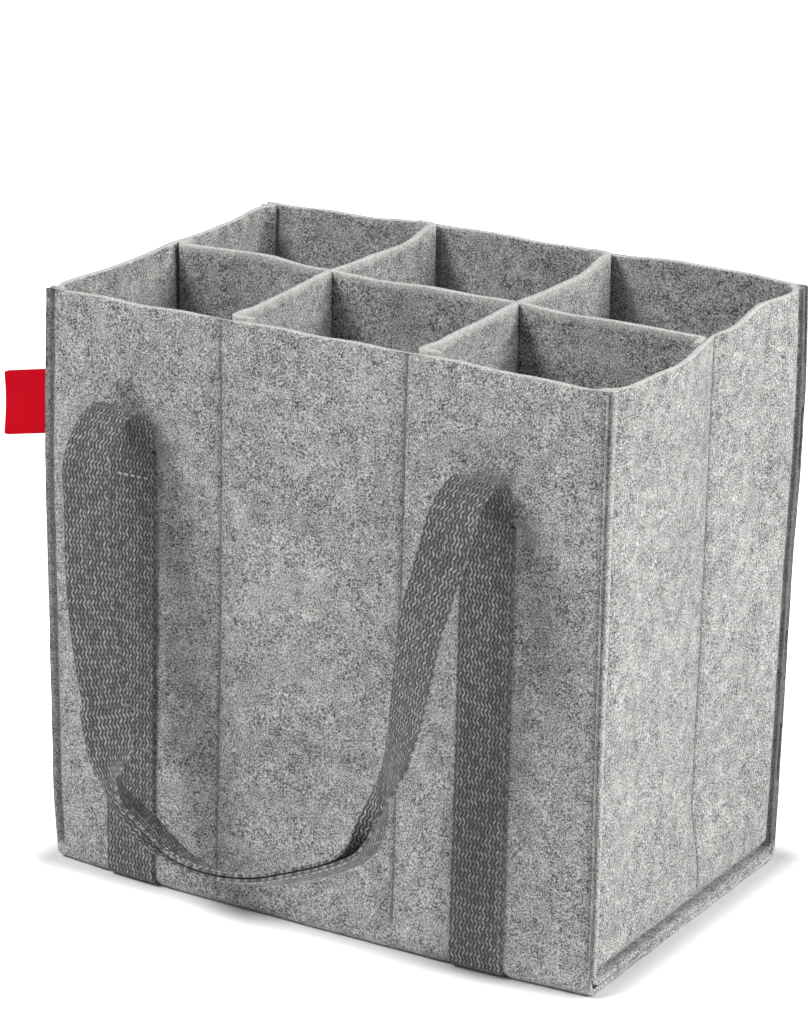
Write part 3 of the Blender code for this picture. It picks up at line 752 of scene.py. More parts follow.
def groove(points, painted_shade):
    """Close the raw edges of a corner seam. Paint shade into the gap where they meet, onto the corner strip
    that faces away from the light and into the groove at the foot. Give the raw edges' paler share, which is
    partly cut wool and partly painted highlight.
    """
    side, face, height = np.abs(points[:, 0]), np.abs(points[:, 1]), points[:, 2]
    above_foot = height > RAW_FOOT
    at_end = side > HALF_WIDTH - END_BAND
    meet = np.clip(1.3 - np.abs(face - MEET_PLACE) / MEET_REACH, 0, 1) * at_end * above_foot
    points[:, 0] -= np.sign(points[:, 0]) * MEET_DEPTH * meet
    away_from_light = points[:, 0] * points[:, 1] > 0
    from_seam = (side + SEAM_PLACES[-1]) / LEFT_SEAM_INSET
    fade = np.where(points[:, 1] < 0, 0.5 * from_seam, 0.0)
    strip = (1 - fade) * (from_seam > -0.1) * above_foot * (face > CORNER_Y) * away_from_light
    from_edge = np.hypot(side - WALL_X - 0.0012, height - 2 * FELT - 0.0008)
    at_foot = np.clip(1.2 - from_edge / FOOT_EDGE_REACH, 0, 1)
    # Painted shade in the gap where the raw edges meet, on the strip facing away from the light, and in the
    # groove at the foot.
    np.maximum(painted_shade, np.maximum(0.55 * meet, np.maximum(strip, 0.7 * at_foot)), out=painted_shade)
    # The raw edges' paler share: partly cut wool, partly painted highlight.
    raw = np.clip((side - HALF_WIDTH + MEET_DEPTH) / 0.0006, 0, 1) * (face > 0.08) * above_foot
    return RAW_EDGE_AND_HIGHLIGHT * raw * (1 - meet) * (1 - strip)


WALL_PUFF = 0.0050
PUFF_FROM_SEAM = 0.048
PUFF_SEAM_REACH = 0.030
PUFF_TOP = 0.055
PUFF_TOP_REACH = 0.035
PUFF_TURN = 0.0805


def puff_wall(points):
    """Push a side wall out beside its seams and above its foot, over the turned edge."""
    side, face, height = np.abs(points[:, 0]), np.abs(points[:, 1]), points[:, 2]
    near_seam = ease((face - PUFF_FROM_SEAM) / PUFF_SEAM_REACH) * ease((height - 0.005) / 0.008)
    near_foot = ease((PUFF_TOP - height) / PUFF_TOP_REACH) * ease((height - 0.0066) / 0.005)
    in_wall = 1 - ease((side - WALL_X - 0.0003) / 0.005)
    before_turn = 1 - ease((face - PUFF_TURN) / 0.004)
    share = np.maximum(near_seam, near_foot) * in_wall * before_turn
    points[:, 0] += np.sign(points[:, 0]) * WALL_PUFF * share


def finish_felt(piece, node, pinches=(), side_wall=False):
    """Relief, pinches with painted shade, paler rims and raw edges (cut wool and painted highlight), soft
    shape, material, body and the node it stands for.
    """
    points = read_points(piece)
    at_rim = points[:, 2] > HEIGHT - 0.0006
    painted_shade = np.zeros(len(points))
    for row in pinches:
        pinch(points, painted_shade, *row)
    raw_edge_and_highlight = groove(points, painted_shade)
    if side_wall:
        puff_wall(points)
    # One mask for rims and raw edges (cut wool and painted highlight), one for painted shade.
    add_mask(piece, "cut_edge_and_highlight", np.maximum(at_rim, raw_edge_and_highlight))
    add_mask(piece, "painted_shade", painted_shade)
    write_points(piece, points)
    apply_modifier(
        piece, "DISPLACE", texture=felt_relief, strength=0.0005, mid_level=0.5, texture_coords="LOCAL"
    )
    settle(piece)
    piece.data.shade_smooth()
    piece.data.materials.clear()
    piece.data.materials.append(felt)
    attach(piece, "bag")
    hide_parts(node)
    print(piece.name, len(piece.data.polygons), "faces")


# %% [markdown]
# ## The wrap panel
# One long piece of felt makes the front, the base and the back. By hand: lay a
# sheet for the base, spin its front and back edges up through a quarter turn for
# the soft bend, and pull the edges up to the rim. The base lifts a little where
# the straps pass under it.

# %% Wrap panel
wrap = flat_sheet("felt_wrap", HALF_WIDTH * 2, BEND_Y * 2, (0.0, 0.0, FELT / 2))
start_edit(wrap)
for face in (-1, 1):
    pick_edges(lambda a, b: min(face * a.y, face * b.y) > BEND_Y - 0.0001)
    bpy.ops.mesh.spin(
        steps=6, angle=-face * math.radians(90), center=(0.0, face * BEND_Y, BEND_OUTER), axis=(1.0, 0.0, 0.0)
    )
    bpy.ops.mesh.extrude_region_move(TRANSFORM_OT_translate={"value": (0.0, 0.0, HEIGHT - BEND_OUTER)})
bpy.ops.mesh.select_all(action="SELECT")
bpy.ops.mesh.remove_doubles(threshold=0.00001)
pick_edges(lambda a, b: abs(a.x - b.x) > HALF_WIDTH)
bpy.ops.mesh.subdivide(number_cuts=79)
pick_edges(lambda a, b: abs(a.z - b.z) > 0.1)
bpy.ops.mesh.subdivide(number_cuts=75)
pick_edges(lambda a, b: abs(a.y - b.y) > 0.1)
bpy.ops.mesh.subdivide(number_cuts=40)
SEAM_ROWS = list(SEAM_PLACES.values())
DIVIDER_ROWS = [side * DIVIDER_X + face * DIVIDER_STITCH for side in (-1, 1) for face in (-1, 1)]
for row in SEAM_ROWS + DIVIDER_ROWS:
    cut_rows([row - 0.0018, row - 0.0008, row, row + 0.0008, row + 0.0018], 0)
close_edit()
points = read_points(wrap)
for strap_x in STRAP_X.values():
    away = np.clip((np.abs(points[:, 0] - strap_x) - WEB_WIDTH / 2) / 0.003, 0, 1)
    points[:, 2] += BASE_LIFT * (1 - away) * (points[:, 2] < 0.012)
write_points(wrap, points)
thicken(wrap)
# Painted shade along the corner seams is weaker than along the divider seams.
SEAM_DARK = 0.18
wrap_pinches = [(1, face * HALF_DEPTH, 0, row, SEAM_DARK) for face in (-1, 1) for row in SEAM_ROWS]
wrap_pinches += [
    (1, face * HALF_DEPTH, 0, side * DIVIDER_X + face * DIVIDER_STITCH) for side in (-1, 1) for face in (-1, 1)
]
finish_felt(wrap, "wrap_panel", wrap_pinches)

# %% [markdown]
# ## The side panels
# A side panel closes each end. Its three edges turn outwards and lie inside the
# wrap panel, so the two raw edges show side by side at the corner. By hand: a
# standing sheet, its two lower corners rounded, its edge pulled outwards, and the
# turn bevelled soft. The left panel is the right one turned half round. Beside
# its seams, the wall puffs out until it nearly hides the turned edge.

# %% Side panels
wall_middle_x = WALL_X - FELT / 2
flange_inset = FIT_GAP + FELT / 2
SIDE_CORNER = 0.0045
side = flat_sheet(
    "felt_side_right", (INNER_Y - flange_inset) * 2, HEIGHT - FELT - flange_inset,
    (0.0, 0.0, (HEIGHT + FELT + flange_inset) / 2), upright=True,
)
side.rotation_euler = (0.0, 0.0, math.radians(90))
side.location = (wall_middle_x, 0.0, 0.0)
apply_place(side)
start_edit(side)
pick_points(lambda place: place.z < HEIGHT / 2)
bpy.ops.mesh.bevel(offset=SIDE_CORNER, segments=4, affect="VERTICES")
bpy.ops.mesh.select_mode(type="EDGE")
pick_edges(lambda a, b: min(a.z, b.z) < HEIGHT - 0.001)
bpy.ops.mesh.extrude_region_move(TRANSFORM_OT_translate={"value": (HALF_WIDTH - wall_middle_x, 0.0, 0.0)})
pick_edges(lambda a, b: max(a.x, b.x) < wall_middle_x + 0.0001 and min(a.z, b.z) < HEIGHT - 0.001)
bpy.ops.mesh.bevel(offset=TURN_RADIUS, segments=4, affect="EDGES")
cut_rows(np.linspace(0.012, HEIGHT - 0.004, 68), 2)
cut_rows(list(np.linspace(-0.078, 0.078, 42)) + [0.0027, 0.0037, 0.0045, 0.0053, 0.0063], 1)
close_edit()
left_side = own_copy(side, "felt_side_left")
left_side.rotation_euler = (0.0, 0.0, math.radians(180))
apply_place(left_side)
for piece, node, sign in ((side, "side_panel_right", 1), (left_side, "side_panel_left", -1)):
    thicken(piece)
    finish_felt(piece, node, [(0, sign * WALL_X, 1, sign * DIVIDER_STITCH)], side_wall=True)

# %% [markdown]
# ## The dividers
# Three felt strips make six cells. The long one is slotted from the top and the
# two cross ones from below, and they slide into each other. Each end turns aside
# and is sewn to a wall. By hand: a standing sheet, its ends pulled aside, the
# turn bevelled, and the faces in the slots deleted.

# %% Dividers
def make_divider(name, half_length, flange_way, slots, slot_low, slot_high):
    """A divider along X with its two turned ends and its slots."""
    divider = flat_sheet(
        name, half_length * 2, HEIGHT - DIVIDER_FOOT, (0.0, 0.0, (HEIGHT + DIVIDER_FOOT) / 2), upright=True
    )
    start_edit(divider)
    for end in (-1, 1):
        end_x = half_length - 0.0001
        pick_edges(lambda a, b: min(end * a.x, end * b.x) > end_x and abs(a.y) + abs(b.y) < 0.0001)
        reach = -end * flange_way * (DIVIDER_TURNED_END + FELT / 2)
        bpy.ops.mesh.extrude_region_move(TRANSFORM_OT_translate={"value": (0.0, reach, 0.0)})
    pick_edges(lambda a, b: abs(a.y) + abs(b.y) < 0.0001 and abs(a.x - b.x) < 0.0001)
    bpy.ops.mesh.bevel(offset=TURN_RADIUS, segments=4, affect="EDGES")
    pick_edges(lambda a, b: abs(a.z - b.z) > 0.1)
    bpy.ops.mesh.subdivide(number_cuts=65)
    pick_edges(lambda a, b: abs(a.x - b.x) > 0.1)
    bpy.ops.mesh.subdivide(number_cuts=int(half_length * 2 / 0.0042))
    half_slot = FELT / 2 + FIT_GAP
    for slot in slots:
        cut_rows([slot - half_slot, slot + half_slot], 0)
    cut_rows([DIVIDER_MIDDLE], 2)
    for slot in slots:
        delete_faces(lambda c: abs(c.x - slot) < half_slot and slot_low < c.z < slot_high)
    close_edit()
    return divider


CROSS_END_RISE = 0.0015
CROSS_END_FROM = 0.064
CROSS_END_REACH = 0.014
long_divider = make_divider(
    "felt_long_divider", WALL_X - FELT - FIT_GAP - FELT / 2, 1, (-DIVIDER_X, DIVIDER_X), DIVIDER_MIDDLE, 1.0
)
cross = make_divider(
    "felt_cross_divider_right", INNER_Y - FIT_GAP - FELT / 2, -1, (0.0,), 0.0, DIVIDER_MIDDLE
)
points = read_points(cross)
bend_radius = BEND_OUTER - FELT - FIT_GAP
drop = np.clip(BEND_OUTER - points[:, 2], 0, bend_radius)
draw_in = bend_radius - np.sqrt(bend_radius**2 - drop**2)
points[:, 0] -= np.sign(points[:, 0]) * draw_in * np.clip(np.abs(points[:, 0]) / 0.08, 0, 1) ** 4
write_points(cross, points)
other_cross = own_copy(cross, "felt_cross_divider_left")
for piece, place_x in ((cross, DIVIDER_X), (other_cross, -DIVIDER_X)):
    piece.rotation_euler = (0.0, 0.0, math.radians(90))
    piece.location = (place_x, 0.0, 0.0)
    apply_place(piece)
for piece, node in (
    (long_divider, "long_divider"), (cross, "cross_divider_right"), (other_cross, "cross_divider_left"),
):
    thicken(piece)
    if piece is not long_divider:
        points = read_points(piece)
        at_ends = ease((np.abs(points[:, 1]) - CROSS_END_FROM) / CROSS_END_REACH)
        points[:, 2] += CROSS_END_RISE * at_ends * ease(toward_rim(points[:, 2]))
        write_points(piece, points)
    finish_felt(piece, node)

# %% [markdown]
# ## Webbing, made flat
# Webbing is woven flat, so it is modelled flat: a grid as wide and as long as the
# band, thickened, with its long edges rounded. Its UV map is the flat place in
# metres. Only then is it laid along its way, as on the real bag: up the front,
# under the base and up the back for a strap, and over the fold, down the leg,
# through the grip and up again for a handle.

# %% Flat webbing and laying it
def flat_webbing(name, length, rows, columns=16):
    """A flat band along Y from 0, thickened, with its long edges rounded and its ends left open."""
    bpy.ops.mesh.primitive_grid_add(x_subdivisions=columns, y_subdivisions=rows, size=1.0)
    band = bpy.context.object
    band.name = name
    band.data.name = name
    band.scale = (WEB_WIDTH, length, 1.0)
    band.location = (0.0, length / 2, 0.0)
    apply_place(band)
    apply_modifier(band, "SOLIDIFY", thickness=WEB_THICKNESS, offset=0.0)
    start_edit(band)
    side_x = WEB_WIDTH / 2 - 0.0001
    pick_edges(lambda a, b: abs(a.x) > side_x and abs(a.x - b.x) < 0.0001 and abs(a.y - b.y) > 0.0001)
    bpy.ops.mesh.bevel(offset=WEB_THICKNESS * 0.4, segments=3, affect="EDGES")
    close_edit()
    start_edit(band)
    delete_faces(lambda c: c.y < 0.00001 or c.y > length - 0.00001)
    bpy.ops.object.mode_set(mode="OBJECT")
    return band


def map_flat(piece, length=None):
    """Write the flat place of every corner into the UV map named band."""
    mesh = piece.data
    while mesh.uv_layers:
        mesh.uv_layers.remove(mesh.uv_layers[0])
    layer = mesh.uv_layers.new(name="band")
    points = read_points(piece)
    if length:
        points[:, 1] *= round(length / WEB_ROW / 2) * WEB_ROW * 2 / length
    corners = np.empty(len(mesh.loops), dtype=np.int64)
    mesh.loops.foreach_get("vertex_index", corners)
    layer.uv.foreach_set("vector", points[corners, :2].astype(np.float32).ravel())


def sample(table, distance, along):
    """Read a table of vectors or numbers at the given distances."""
    if table.ndim == 1:
        return np.interp(along, distance, table)
    return np.stack([np.interp(along, distance, table[:, k]) for k in range(table.shape[1])], axis=1)


def unit(vectors):
    """Vectors of length one."""
    return vectors / np.linalg.norm(vectors, axis=1)[:, None]


STRAP_BEND = BEND_OUTER + FIT_GAP + WEB_THICKNESS / 2
STRAP_LENGTH = 2 * (STRAP_TOP - BEND_OUTER - BASE_LIFT + STRAP_BEND * math.pi / 2 + BEND_Y)
print("strap length, m:", round(STRAP_LENGTH, 4))


def lay_strap(piece, strap_x):
    """Lay a flat piece up the front, under the base and up the back."""
    centre_z = BEND_OUTER + BASE_LIFT
    quarter = STRAP_BEND * math.pi / 2
    x, along, out = read_points(piece).T
    reach = along - STRAP_LENGTH / 2
    face = np.sign(reach)
    run = np.abs(reach)
    turn = np.clip((run - BEND_Y) / STRAP_BEND, 0, math.pi / 2)
    climb = np.clip(run - BEND_Y - quarter, 0, None)
    away = STRAP_BEND + out
    y = face * (np.minimum(run, BEND_Y) + away * np.sin(turn))
    z = centre_z - away * np.cos(turn) + climb
    write_points(piece, np.stack([x + strap_x, y, z], axis=1))


def finish_webbing(piece, finish):
    """Smooth shading, material and slot."""
    piece.data.shade_smooth()
    piece.data.materials.clear()
    piece.data.materials.append(finish)


# %% [markdown]
# ## The sewn straps
# Both straps are the same band, laid at two places.

# %% Straps
flat_strap = flat_webbing("webbing_strap_left", STRAP_LENGTH, 300)
map_flat(flat_strap, STRAP_LENGTH)
right_strap = own_copy(flat_strap, "webbing_strap_right")
for piece, name in ((flat_strap, "left"), (right_strap, "right")):
    lay_strap(piece, STRAP_X[name])
    settle(piece)
    finish_webbing(piece, webbing)
    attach(piece, "bag")
    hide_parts("strap_" + name)
print("straps laid at x", STRAP_X)

# %% [markdown]
# ## The handles
# Each handle is one band. It arches over from the top of a sewn strap, hangs down
# as a flat leg, and is folded in half along its length and stitched for the grip.
# Where it folds, the flat band cups into a small pocket. The way of its middle
# line is a table: how far across, how far down, how far in front, how far turned
# about its own length, and how far folded. The flat band is laid along it.

# %% The handle's way
HANDLE_FLOOR_HEIGHT = 0.0361
HANDLE_FORWARD = 0.0105
GRIP_LAYER_GAP = 0.0005
HANDLE_ROUTE = np.array([
    (0.000, 0.000, 0.00, 0.0, 0.00),
    (0.008, 0.083, 0.02, -2.0, 0.00),
    (0.014, 0.178, 0.11, -4.0, 0.00),
    (0.021, 0.284, 0.21, -5.0, 0.00),
    (0.032, 0.389, 0.27, -6.0, 0.00),
    (0.047, 0.495, 0.31, -7.0, 0.00),
    (0.070, 0.592, 0.41, -8.0, 0.00),
    (0.091, 0.671, 0.58, -8.0, 0.00),
    (0.108, 0.733, 0.78, 3.0, 0.05),
    (0.119, 0.777, 0.97, 26.0, 0.17),
    (0.141, 0.817, 0.91, 44.0, 0.32),
    (0.177, 0.857, 0.57, 37.0, 0.53),
    (0.229, 0.909, 0.33, 18.0, 0.80),
    (0.305, 0.969, 0.41, -5.0, 0.99),
    (0.417, 0.999, 0.57, -21.0, 1.00),
    (0.544, 0.987, 0.61, -27.0, 1.00),
    (0.660, 0.946, 0.51, -30.0, 1.00),
    (0.761, 0.897, 0.30, -28.0, 1.00),
    (0.827, 0.845, 0.10, -31.0, 0.86),
    (0.851, 0.780, -0.03, -42.0, 0.57),
    (0.856, 0.697, -0.14, -52.0, 0.20),
    (0.869, 0.604, -0.25, -44.0, 0.00),
    (0.893, 0.488, -0.30, -26.0, 0.00),
    (0.916, 0.360, -0.15, -17.0, 0.00),
    (0.943, 0.228, 0.10, -9.0, 0.00),
    (0.971, 0.114, 0.06, -3.0, 0.00),
    (1.000, 0.000, 0.00, 0.0, 0.00),
])
FOLD_WAYS = {
    "left": np.array([
        (0.0, 0.0), (0.0, 8.0), (1.0, 14.2), (4.6, 19.6), (10.4, 21.8), (16.4, 21.2), (22.4, 18.2),
        (27.8, 13.2), (32.0, 7.4), (34.8, 1.9), (36.0, -4.0),
    ]) * 0.001,
    "right": np.array([
        (0.0, 0.0), (0.0, 8.0), (0.7, 13.6), (3.6, 18.6), (8.8, 21.4), (14.6, 21.2), (20.6, 18.6),
        (26.6, 14.6), (31.8, 9.2), (34.9, 3.0), (36.0, -4.0),
    ]) * 0.001,
}


def smooth_rows(table, count):
    """A smooth line through the rows of a table, as many points."""
    fine = np.linspace(0, len(table) - 1, count)
    rows = np.arange(len(table))
    return np.stack([smooth_curve(rows, np.tile(column[:, None], count), fine) for column in table.T], axis=1)


def soften(rows):
    """Average each row with the four before and behind it, and hold both ends."""
    held = np.pad(rows, ((4, 4), (0, 0)), mode="reflect", reflect_type="odd")
    return np.stack([np.convolve(column, np.full(9, 1 / 9), "valid") for column in held.T], axis=1)


def distances(points):
    """How far along its line each point lies."""
    steps = np.linalg.norm(np.diff(points, axis=0), axis=1)
    return np.concatenate([[0.0], np.cumsum(steps)])


LINE_STEP = 0.001
HANG_FROM = 0.0045
LEG_Y = STRAP_Y + 2 * FOLD_RADIUS
way, down, front, turned, folded = smooth_rows(HANDLE_ROUTE, 1041).T
hang_points = np.stack([
    STRAP_X["left"] + (STRAP_X["right"] - STRAP_X["left"]) * way,
    -(LEG_Y + HANDLE_FORWARD * front),
    STRAP_TOP - (STRAP_TOP - HANDLE_FLOOR_HEIGHT) * down,
], axis=1)
hanging = hang_points[:, 2] < STRAP_TOP - HANG_FROM
FOLD_POINTS = 60
arches = {}
for name, table in FOLD_WAYS.items():
    forward, up = smooth_rows(table, FOLD_POINTS).T
    arches[name] = np.stack([np.full(FOLD_POINTS, STRAP_X[name]), -STRAP_Y - forward, STRAP_TOP + up], axis=1)
rough = np.concatenate([arches["left"], hang_points[hanging], arches["right"][::-1]])
no_turn = np.zeros(FOLD_POINTS)
rough_turn = np.radians(np.concatenate([no_turn, turned[hanging], no_turn]))
rough_fold = np.clip(np.concatenate([no_turn, folded[hanging], no_turn]), 0, 1)
rough_distance = distances(rough)
even = np.linspace(0.0, rough_distance[-1], int(rough_distance[-1] / LINE_STEP))
rows = np.column_stack([rough, rough_turn, rough_fold])
rows = soften(soften(sample(rows, rough_distance, even)))
line, line_turn, line_fold = rows[:, :3], rows[:, 3], np.clip(rows[:, 4], 0, 1)
line_distance = distances(line)
HANDLE_LENGTH = line_distance[-1]
line_along = unit(np.gradient(line, line_distance, axis=0))
outward = np.tile((0.0, -1.0, 0.0), (len(line), 1))
in_left_arch = even < rough_distance[FOLD_POINTS]
in_right_arch = even > rough_distance[-FOLD_POINTS - 1]
for part_line, hand in ((in_left_arch, 1.0), (in_right_arch, -1.0)):
    outward[part_line, 1] = hand * line_along[part_line, 2]
    outward[part_line, 2] = -hand * line_along[part_line, 1]
level = unit(outward - line_along * np.sum(outward * line_along, axis=1)[:, None])
crosswise = np.cross(line_along, level)
line_front = level * np.cos(line_turn)[:, None] + crosswise * np.sin(line_turn)[:, None]
print("handle length, m:", round(HANDLE_LENGTH, 4))


def lay_handle(piece, face):
    """Lay a flat piece along the handle of the given face, folding it in the grip."""
    across, along, out = read_points(piece).T
    centre = sample(line, line_distance, along)
    tangent = unit(sample(line_along, line_distance, along))
    ahead = sample(line_front, line_distance, along)
    ahead = unit(ahead - tangent * np.sum(ahead * tangent, axis=1)[:, None])
    beside = np.cross(tangent, ahead)
    bend = np.radians(90) * sample(line_fold, line_distance, along)
    half_bend = math.radians(90) * (WEB_THICKNESS + GRIP_LAYER_GAP) / 2
    reach = np.abs(across)
    share = np.clip(reach / half_bend, 0, 1)
    angle = bend * share
    safe = np.maximum(bend, 1e-6)
    sideways = half_bend / safe * np.sin(angle) + np.clip(reach - half_bend, 0, None) * np.cos(bend)
    forward = half_bend / safe * (1 - np.cos(angle)) + np.clip(reach - half_bend, 0, None) * np.sin(bend)
    hand = np.where(across < 0, -1.0, 1.0)
    middle = centre + beside * (hand * sideways)[:, None] + ahead * forward[:, None]
    normal = ahead * np.cos(angle)[:, None] - beside * (hand * np.sin(angle))[:, None]
    points = middle + normal * out[:, None]
    root = np.clip((-points[:, 1] - STRAP_Y) / (1.5 * FOLD_RADIUS), 0, 1)
    points[:, 1] *= -face
    points += (bag_shape(points) - points) * ((1 - root) ** 2 * (1 + 2 * root))[:, None]
    write_points(piece, points)


# %% [markdown]
# A flat point at a place across and along the band has its place beside the
# fold line, its place in front of it, and a normal. The thickness goes along the
# normal. Near its root, a handle follows the soft bag, because it is the same
# band as the sewn strap. In the fold, its shape passes from the bag's soft shape
# to its own.

# %% Handles
flat_handle = flat_webbing("webbing_handle_front", HANDLE_LENGTH, 400, columns=24)
map_flat(flat_handle, HANDLE_LENGTH)
back_handle = own_copy(flat_handle, "webbing_handle_back")
for piece, name in ((flat_handle, "front"), (back_handle, "back")):
    face = FACES[name]
    lay_handle(piece, face)
    if face > 0:
        piece.data.flip_normals()
    finish_webbing(piece, webbing)
    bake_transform(piece)
    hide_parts(name + "_handle", f"fold_{name}_left", f"fold_{name}_right")
print("handles:", len(flat_handle.data.polygons), "faces each")

# %% [markdown]
# ## Stitches
# One stitch is a short thread that comes up and dives again: a stretched ball
# whose ends sink. A row repeats it with an Array, and the row is laid where the
# seam is: on felt in a straight line that then takes the soft shape, on webbing
# flat and laid with the same rule as its band.

# %% One stitch and its rows
STITCH_PITCH = 0.0033
STITCH_LENGTH = 0.0026
STITCH_RADIUS = 0.00036
STITCH_RISE = 0.00012
STITCH_DIVE = 0.00034
STITCH_SLANT = 0.00012
STITCH_SINK = 0.0001


def stitch_row(name, length, pitch=STITCH_PITCH):
    """A row of stitches along X from 0, lying on Z = 0."""
    bpy.ops.mesh.primitive_uv_sphere_add(segments=8, ring_count=7, radius=1.0)
    row = bpy.context.object
    row.name = name
    row.data.name = name
    row.rotation_euler = (0.0, math.radians(90), 0.0)
    apply_place(row)
    row.scale = (STITCH_LENGTH / 2, STITCH_RADIUS, STITCH_RADIUS)
    row.location = (pitch / 2, 0.0, 0.0)
    apply_place(row)
    points = read_points(row)
    part_way = (points[:, 0] - pitch / 2) / (STITCH_LENGTH / 2)
    points[:, 2] += STITCH_RISE - STITCH_DIVE * part_way**2
    points[:, 1] += STITCH_SLANT * part_way
    write_points(row, points)
    count = max(1, int(length / pitch))
    apply_modifier(
        row, "ARRAY", count=count, use_relative_offset=False, use_constant_offset=True,
        constant_offset_displace=(pitch, 0.0, 0.0),
    )
    points = read_points(row)
    points[:, 0] += (length - count * pitch) / 2
    write_points(row, points)
    return row


def finish_stitches(row, body, node=None, finish=thread):
    """Material, body and the node the row stands for."""
    row.data.shade_smooth()
    row.data.materials.append(finish)
    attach(row, body)
    if node:
        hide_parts(node)


def felt_row(name, start, end, normal, node, side_wall=False):
    """A row on felt from start to end, sunk into the pinch."""
    start, end, normal = Vector(start), Vector(end), Vector(normal)
    along = (end - start).normalized()
    row = stitch_row(name, (end - start).length)
    aside = normal.cross(along)
    row.data.transform(Matrix((along, aside, normal)).transposed().to_4x4())
    row.data.transform(Matrix.Translation(start - normal * (SEAM_PINCH - STITCH_SINK)))
    if side_wall:
        points = read_points(row)
        puff_wall(points)
        write_points(row, points)
    settle(row)
    finish_stitches(row, "bag", node)


BASE_STITCH_LIFT = 0.0004
for face_name, face in FACES.items():
    y = face * HALF_DEPTH
    for side_name, sign in SIDES.items():
        rows = {"corner": SEAM_PLACES[sign], "divider": sign * DIVIDER_X + face * DIVIDER_STITCH}
        for kind, x in rows.items():
            felt_row(
                f"stitches_{kind}_{face_name}_{side_name}", (x, y, STITCH_LOW), (x, y, STITCH_HIGH),
                (0, face, 0), f"{kind}_thread_{face_name}_{side_name}",
            )
for side_name, sign in SIDES.items():
    node = "divider_thread_" + side_name
    low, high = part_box(node)
    x, y = sign * WALL_X, sign * DIVIDER_STITCH
    felt_row("stitches_divider_" + side_name, (x, y, low.z), (x, y, high.z), (sign, 0, 0), node, side_wall=True)
    node = "base_thread_" + side_name
    x, z = SEAM_PLACES[sign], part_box(node)[0].z + BASE_STITCH_LIFT
    felt_row("stitches_base_" + side_name, (x, -BEND_Y, z), (x, BEND_Y, z), (0, 0, 1), node)
print("stitch rows on the felt are laid")

# %% [markdown]
# The straps are sewn down along both edges, and across the top with a short bar.
# The grip is stitched near its open edges. These rows are made flat on the band.

# %% Stitches on the webbing
STRAP_EDGE = WEB_WIDTH / 2 - 0.002
BAR_LENGTH = 0.0195
BAR_SHIFT = 0.0015
BAR_DROP = 0.0012
BAR_PITCH = 0.0034
BAR_SIZE = 1.35
GRIP_CLOSED = 0.93


def put_on_band(row, across, along, up, skin=1):
    """Write a row's points at their flat place on one skin of a band."""
    out = skin * (WEB_THICKNESS / 2 - STITCH_SINK + up)
    write_points(row, np.stack([across, along, out], axis=1))


def sew_to_strap(row, strap_x, node, finish=thread):
    """Lay a flat row along a sewn strap, and finish it."""
    lay_strap(row, strap_x)
    settle(row)
    finish_stitches(row, "bag", node, finish)


for face_name, face in FACES.items():
    bar_low, bar_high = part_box(f"bartack_{face_name}_left")
    seam_low, seam_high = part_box(f"strap_thread_{face_name}_left_outer")
    from_end = STRAP_TOP - (bar_low.z + bar_high.z) / 2 + BAR_DROP
    for side_name, strap_x in STRAP_X.items():
        name = f"{face_name}_{side_name}"
        bar = stitch_row("stitches_bar_" + name, BAR_LENGTH, pitch=BAR_PITCH)
        x, y, z = read_points(bar).T
        along = from_end if face < 0 else STRAP_LENGTH - from_end
        put_on_band(bar, x - BAR_LENGTH / 2 + BAR_SHIFT, along + y * BAR_SIZE, z * BAR_SIZE)
        # The right bars take the dark thread as painted shade, as they sit in the shade of the handle's arch.
        sew_to_strap(bar, strap_x, "bartack_" + name, pale_thread if side_name == "left" else thread)
        outer = -1 if strap_x < 0 else 1
        for edge_name, sign in (("outer", outer), ("inner", -outer)):
            row = stitch_row(f"stitches_strap_{name}_{edge_name}", seam_high.z - seam_low.z)
            x, y, z = read_points(row).T
            along = STRAP_TOP - seam_high.z + x
            put_on_band(row, sign * STRAP_EDGE + y, along if face < 0 else STRAP_LENGTH - along, z)
            sew_to_strap(row, strap_x, f"strap_thread_{name}_{edge_name}")

closed = line_distance[line_fold > GRIP_CLOSED]
GRIP_START, GRIP_END = closed[0], closed[-1]
GRIP_EDGE = WEB_WIDTH / 2 - 0.0018
for face_name, face in FACES.items():
    for layer_name, hand in (("left", 1), ("right", -1)):
        row = stitch_row(f"stitches_grip_{face_name}_{layer_name}", GRIP_END - GRIP_START)
        x, y, z = read_points(row).T
        put_on_band(row, hand * GRIP_EDGE + y, GRIP_START + x, z, skin=-1)
        lay_handle(row, face)
        finish_stitches(row, face_name + "_handle", finish=pale_thread)
print("grip stitched from", round(GRIP_START, 4), "to", round(GRIP_END, 4), "m along the handle")

# %% [markdown]
# ## The label
# A short red tape is folded double and caught in the front left seam. It is
# plain. By hand: a strip, its outer end spun through half a turn, and pulled back.

# %% Label
label_low, label_high = Vector((-0.1618, -0.0857, 0.202)), Vector((-0.1335, -0.0851, 0.232))
TAPE = 0.00026
LABEL_DROOP = 0.2
tape_radius = (label_high.y - label_low.y - TAPE) / 2
fold_x = label_low.x + tape_radius + TAPE / 2
middle_y = (label_low.y + label_high.y) / 2
label = flat_sheet(
    "label_tape_loop", label_high.x - fold_x, label_high.z - label_low.z,
    ((label_high.x + fold_x) / 2, middle_y - tape_radius, (label_low.z + label_high.z) / 2), upright=True,
)
start_edit(label)
pick_edges(lambda a, b: max(a.x, b.x) < fold_x + 0.0001)
bpy.ops.mesh.spin(
    steps=8, angle=math.radians(180), center=(fold_x, middle_y, 0.0), axis=(0.0, 0.0, 1.0)
)
bpy.ops.mesh.extrude_region_move(TRANSFORM_OT_translate={"value": (label_high.x - fold_x, 0.0, 0.0)})
bpy.ops.mesh.select_all(action="SELECT")
bpy.ops.mesh.remove_doubles(threshold=0.00001)
pick_edges(lambda a, b: abs(a.x - b.x) > 0.01)
bpy.ops.mesh.subdivide(number_cuts=15)
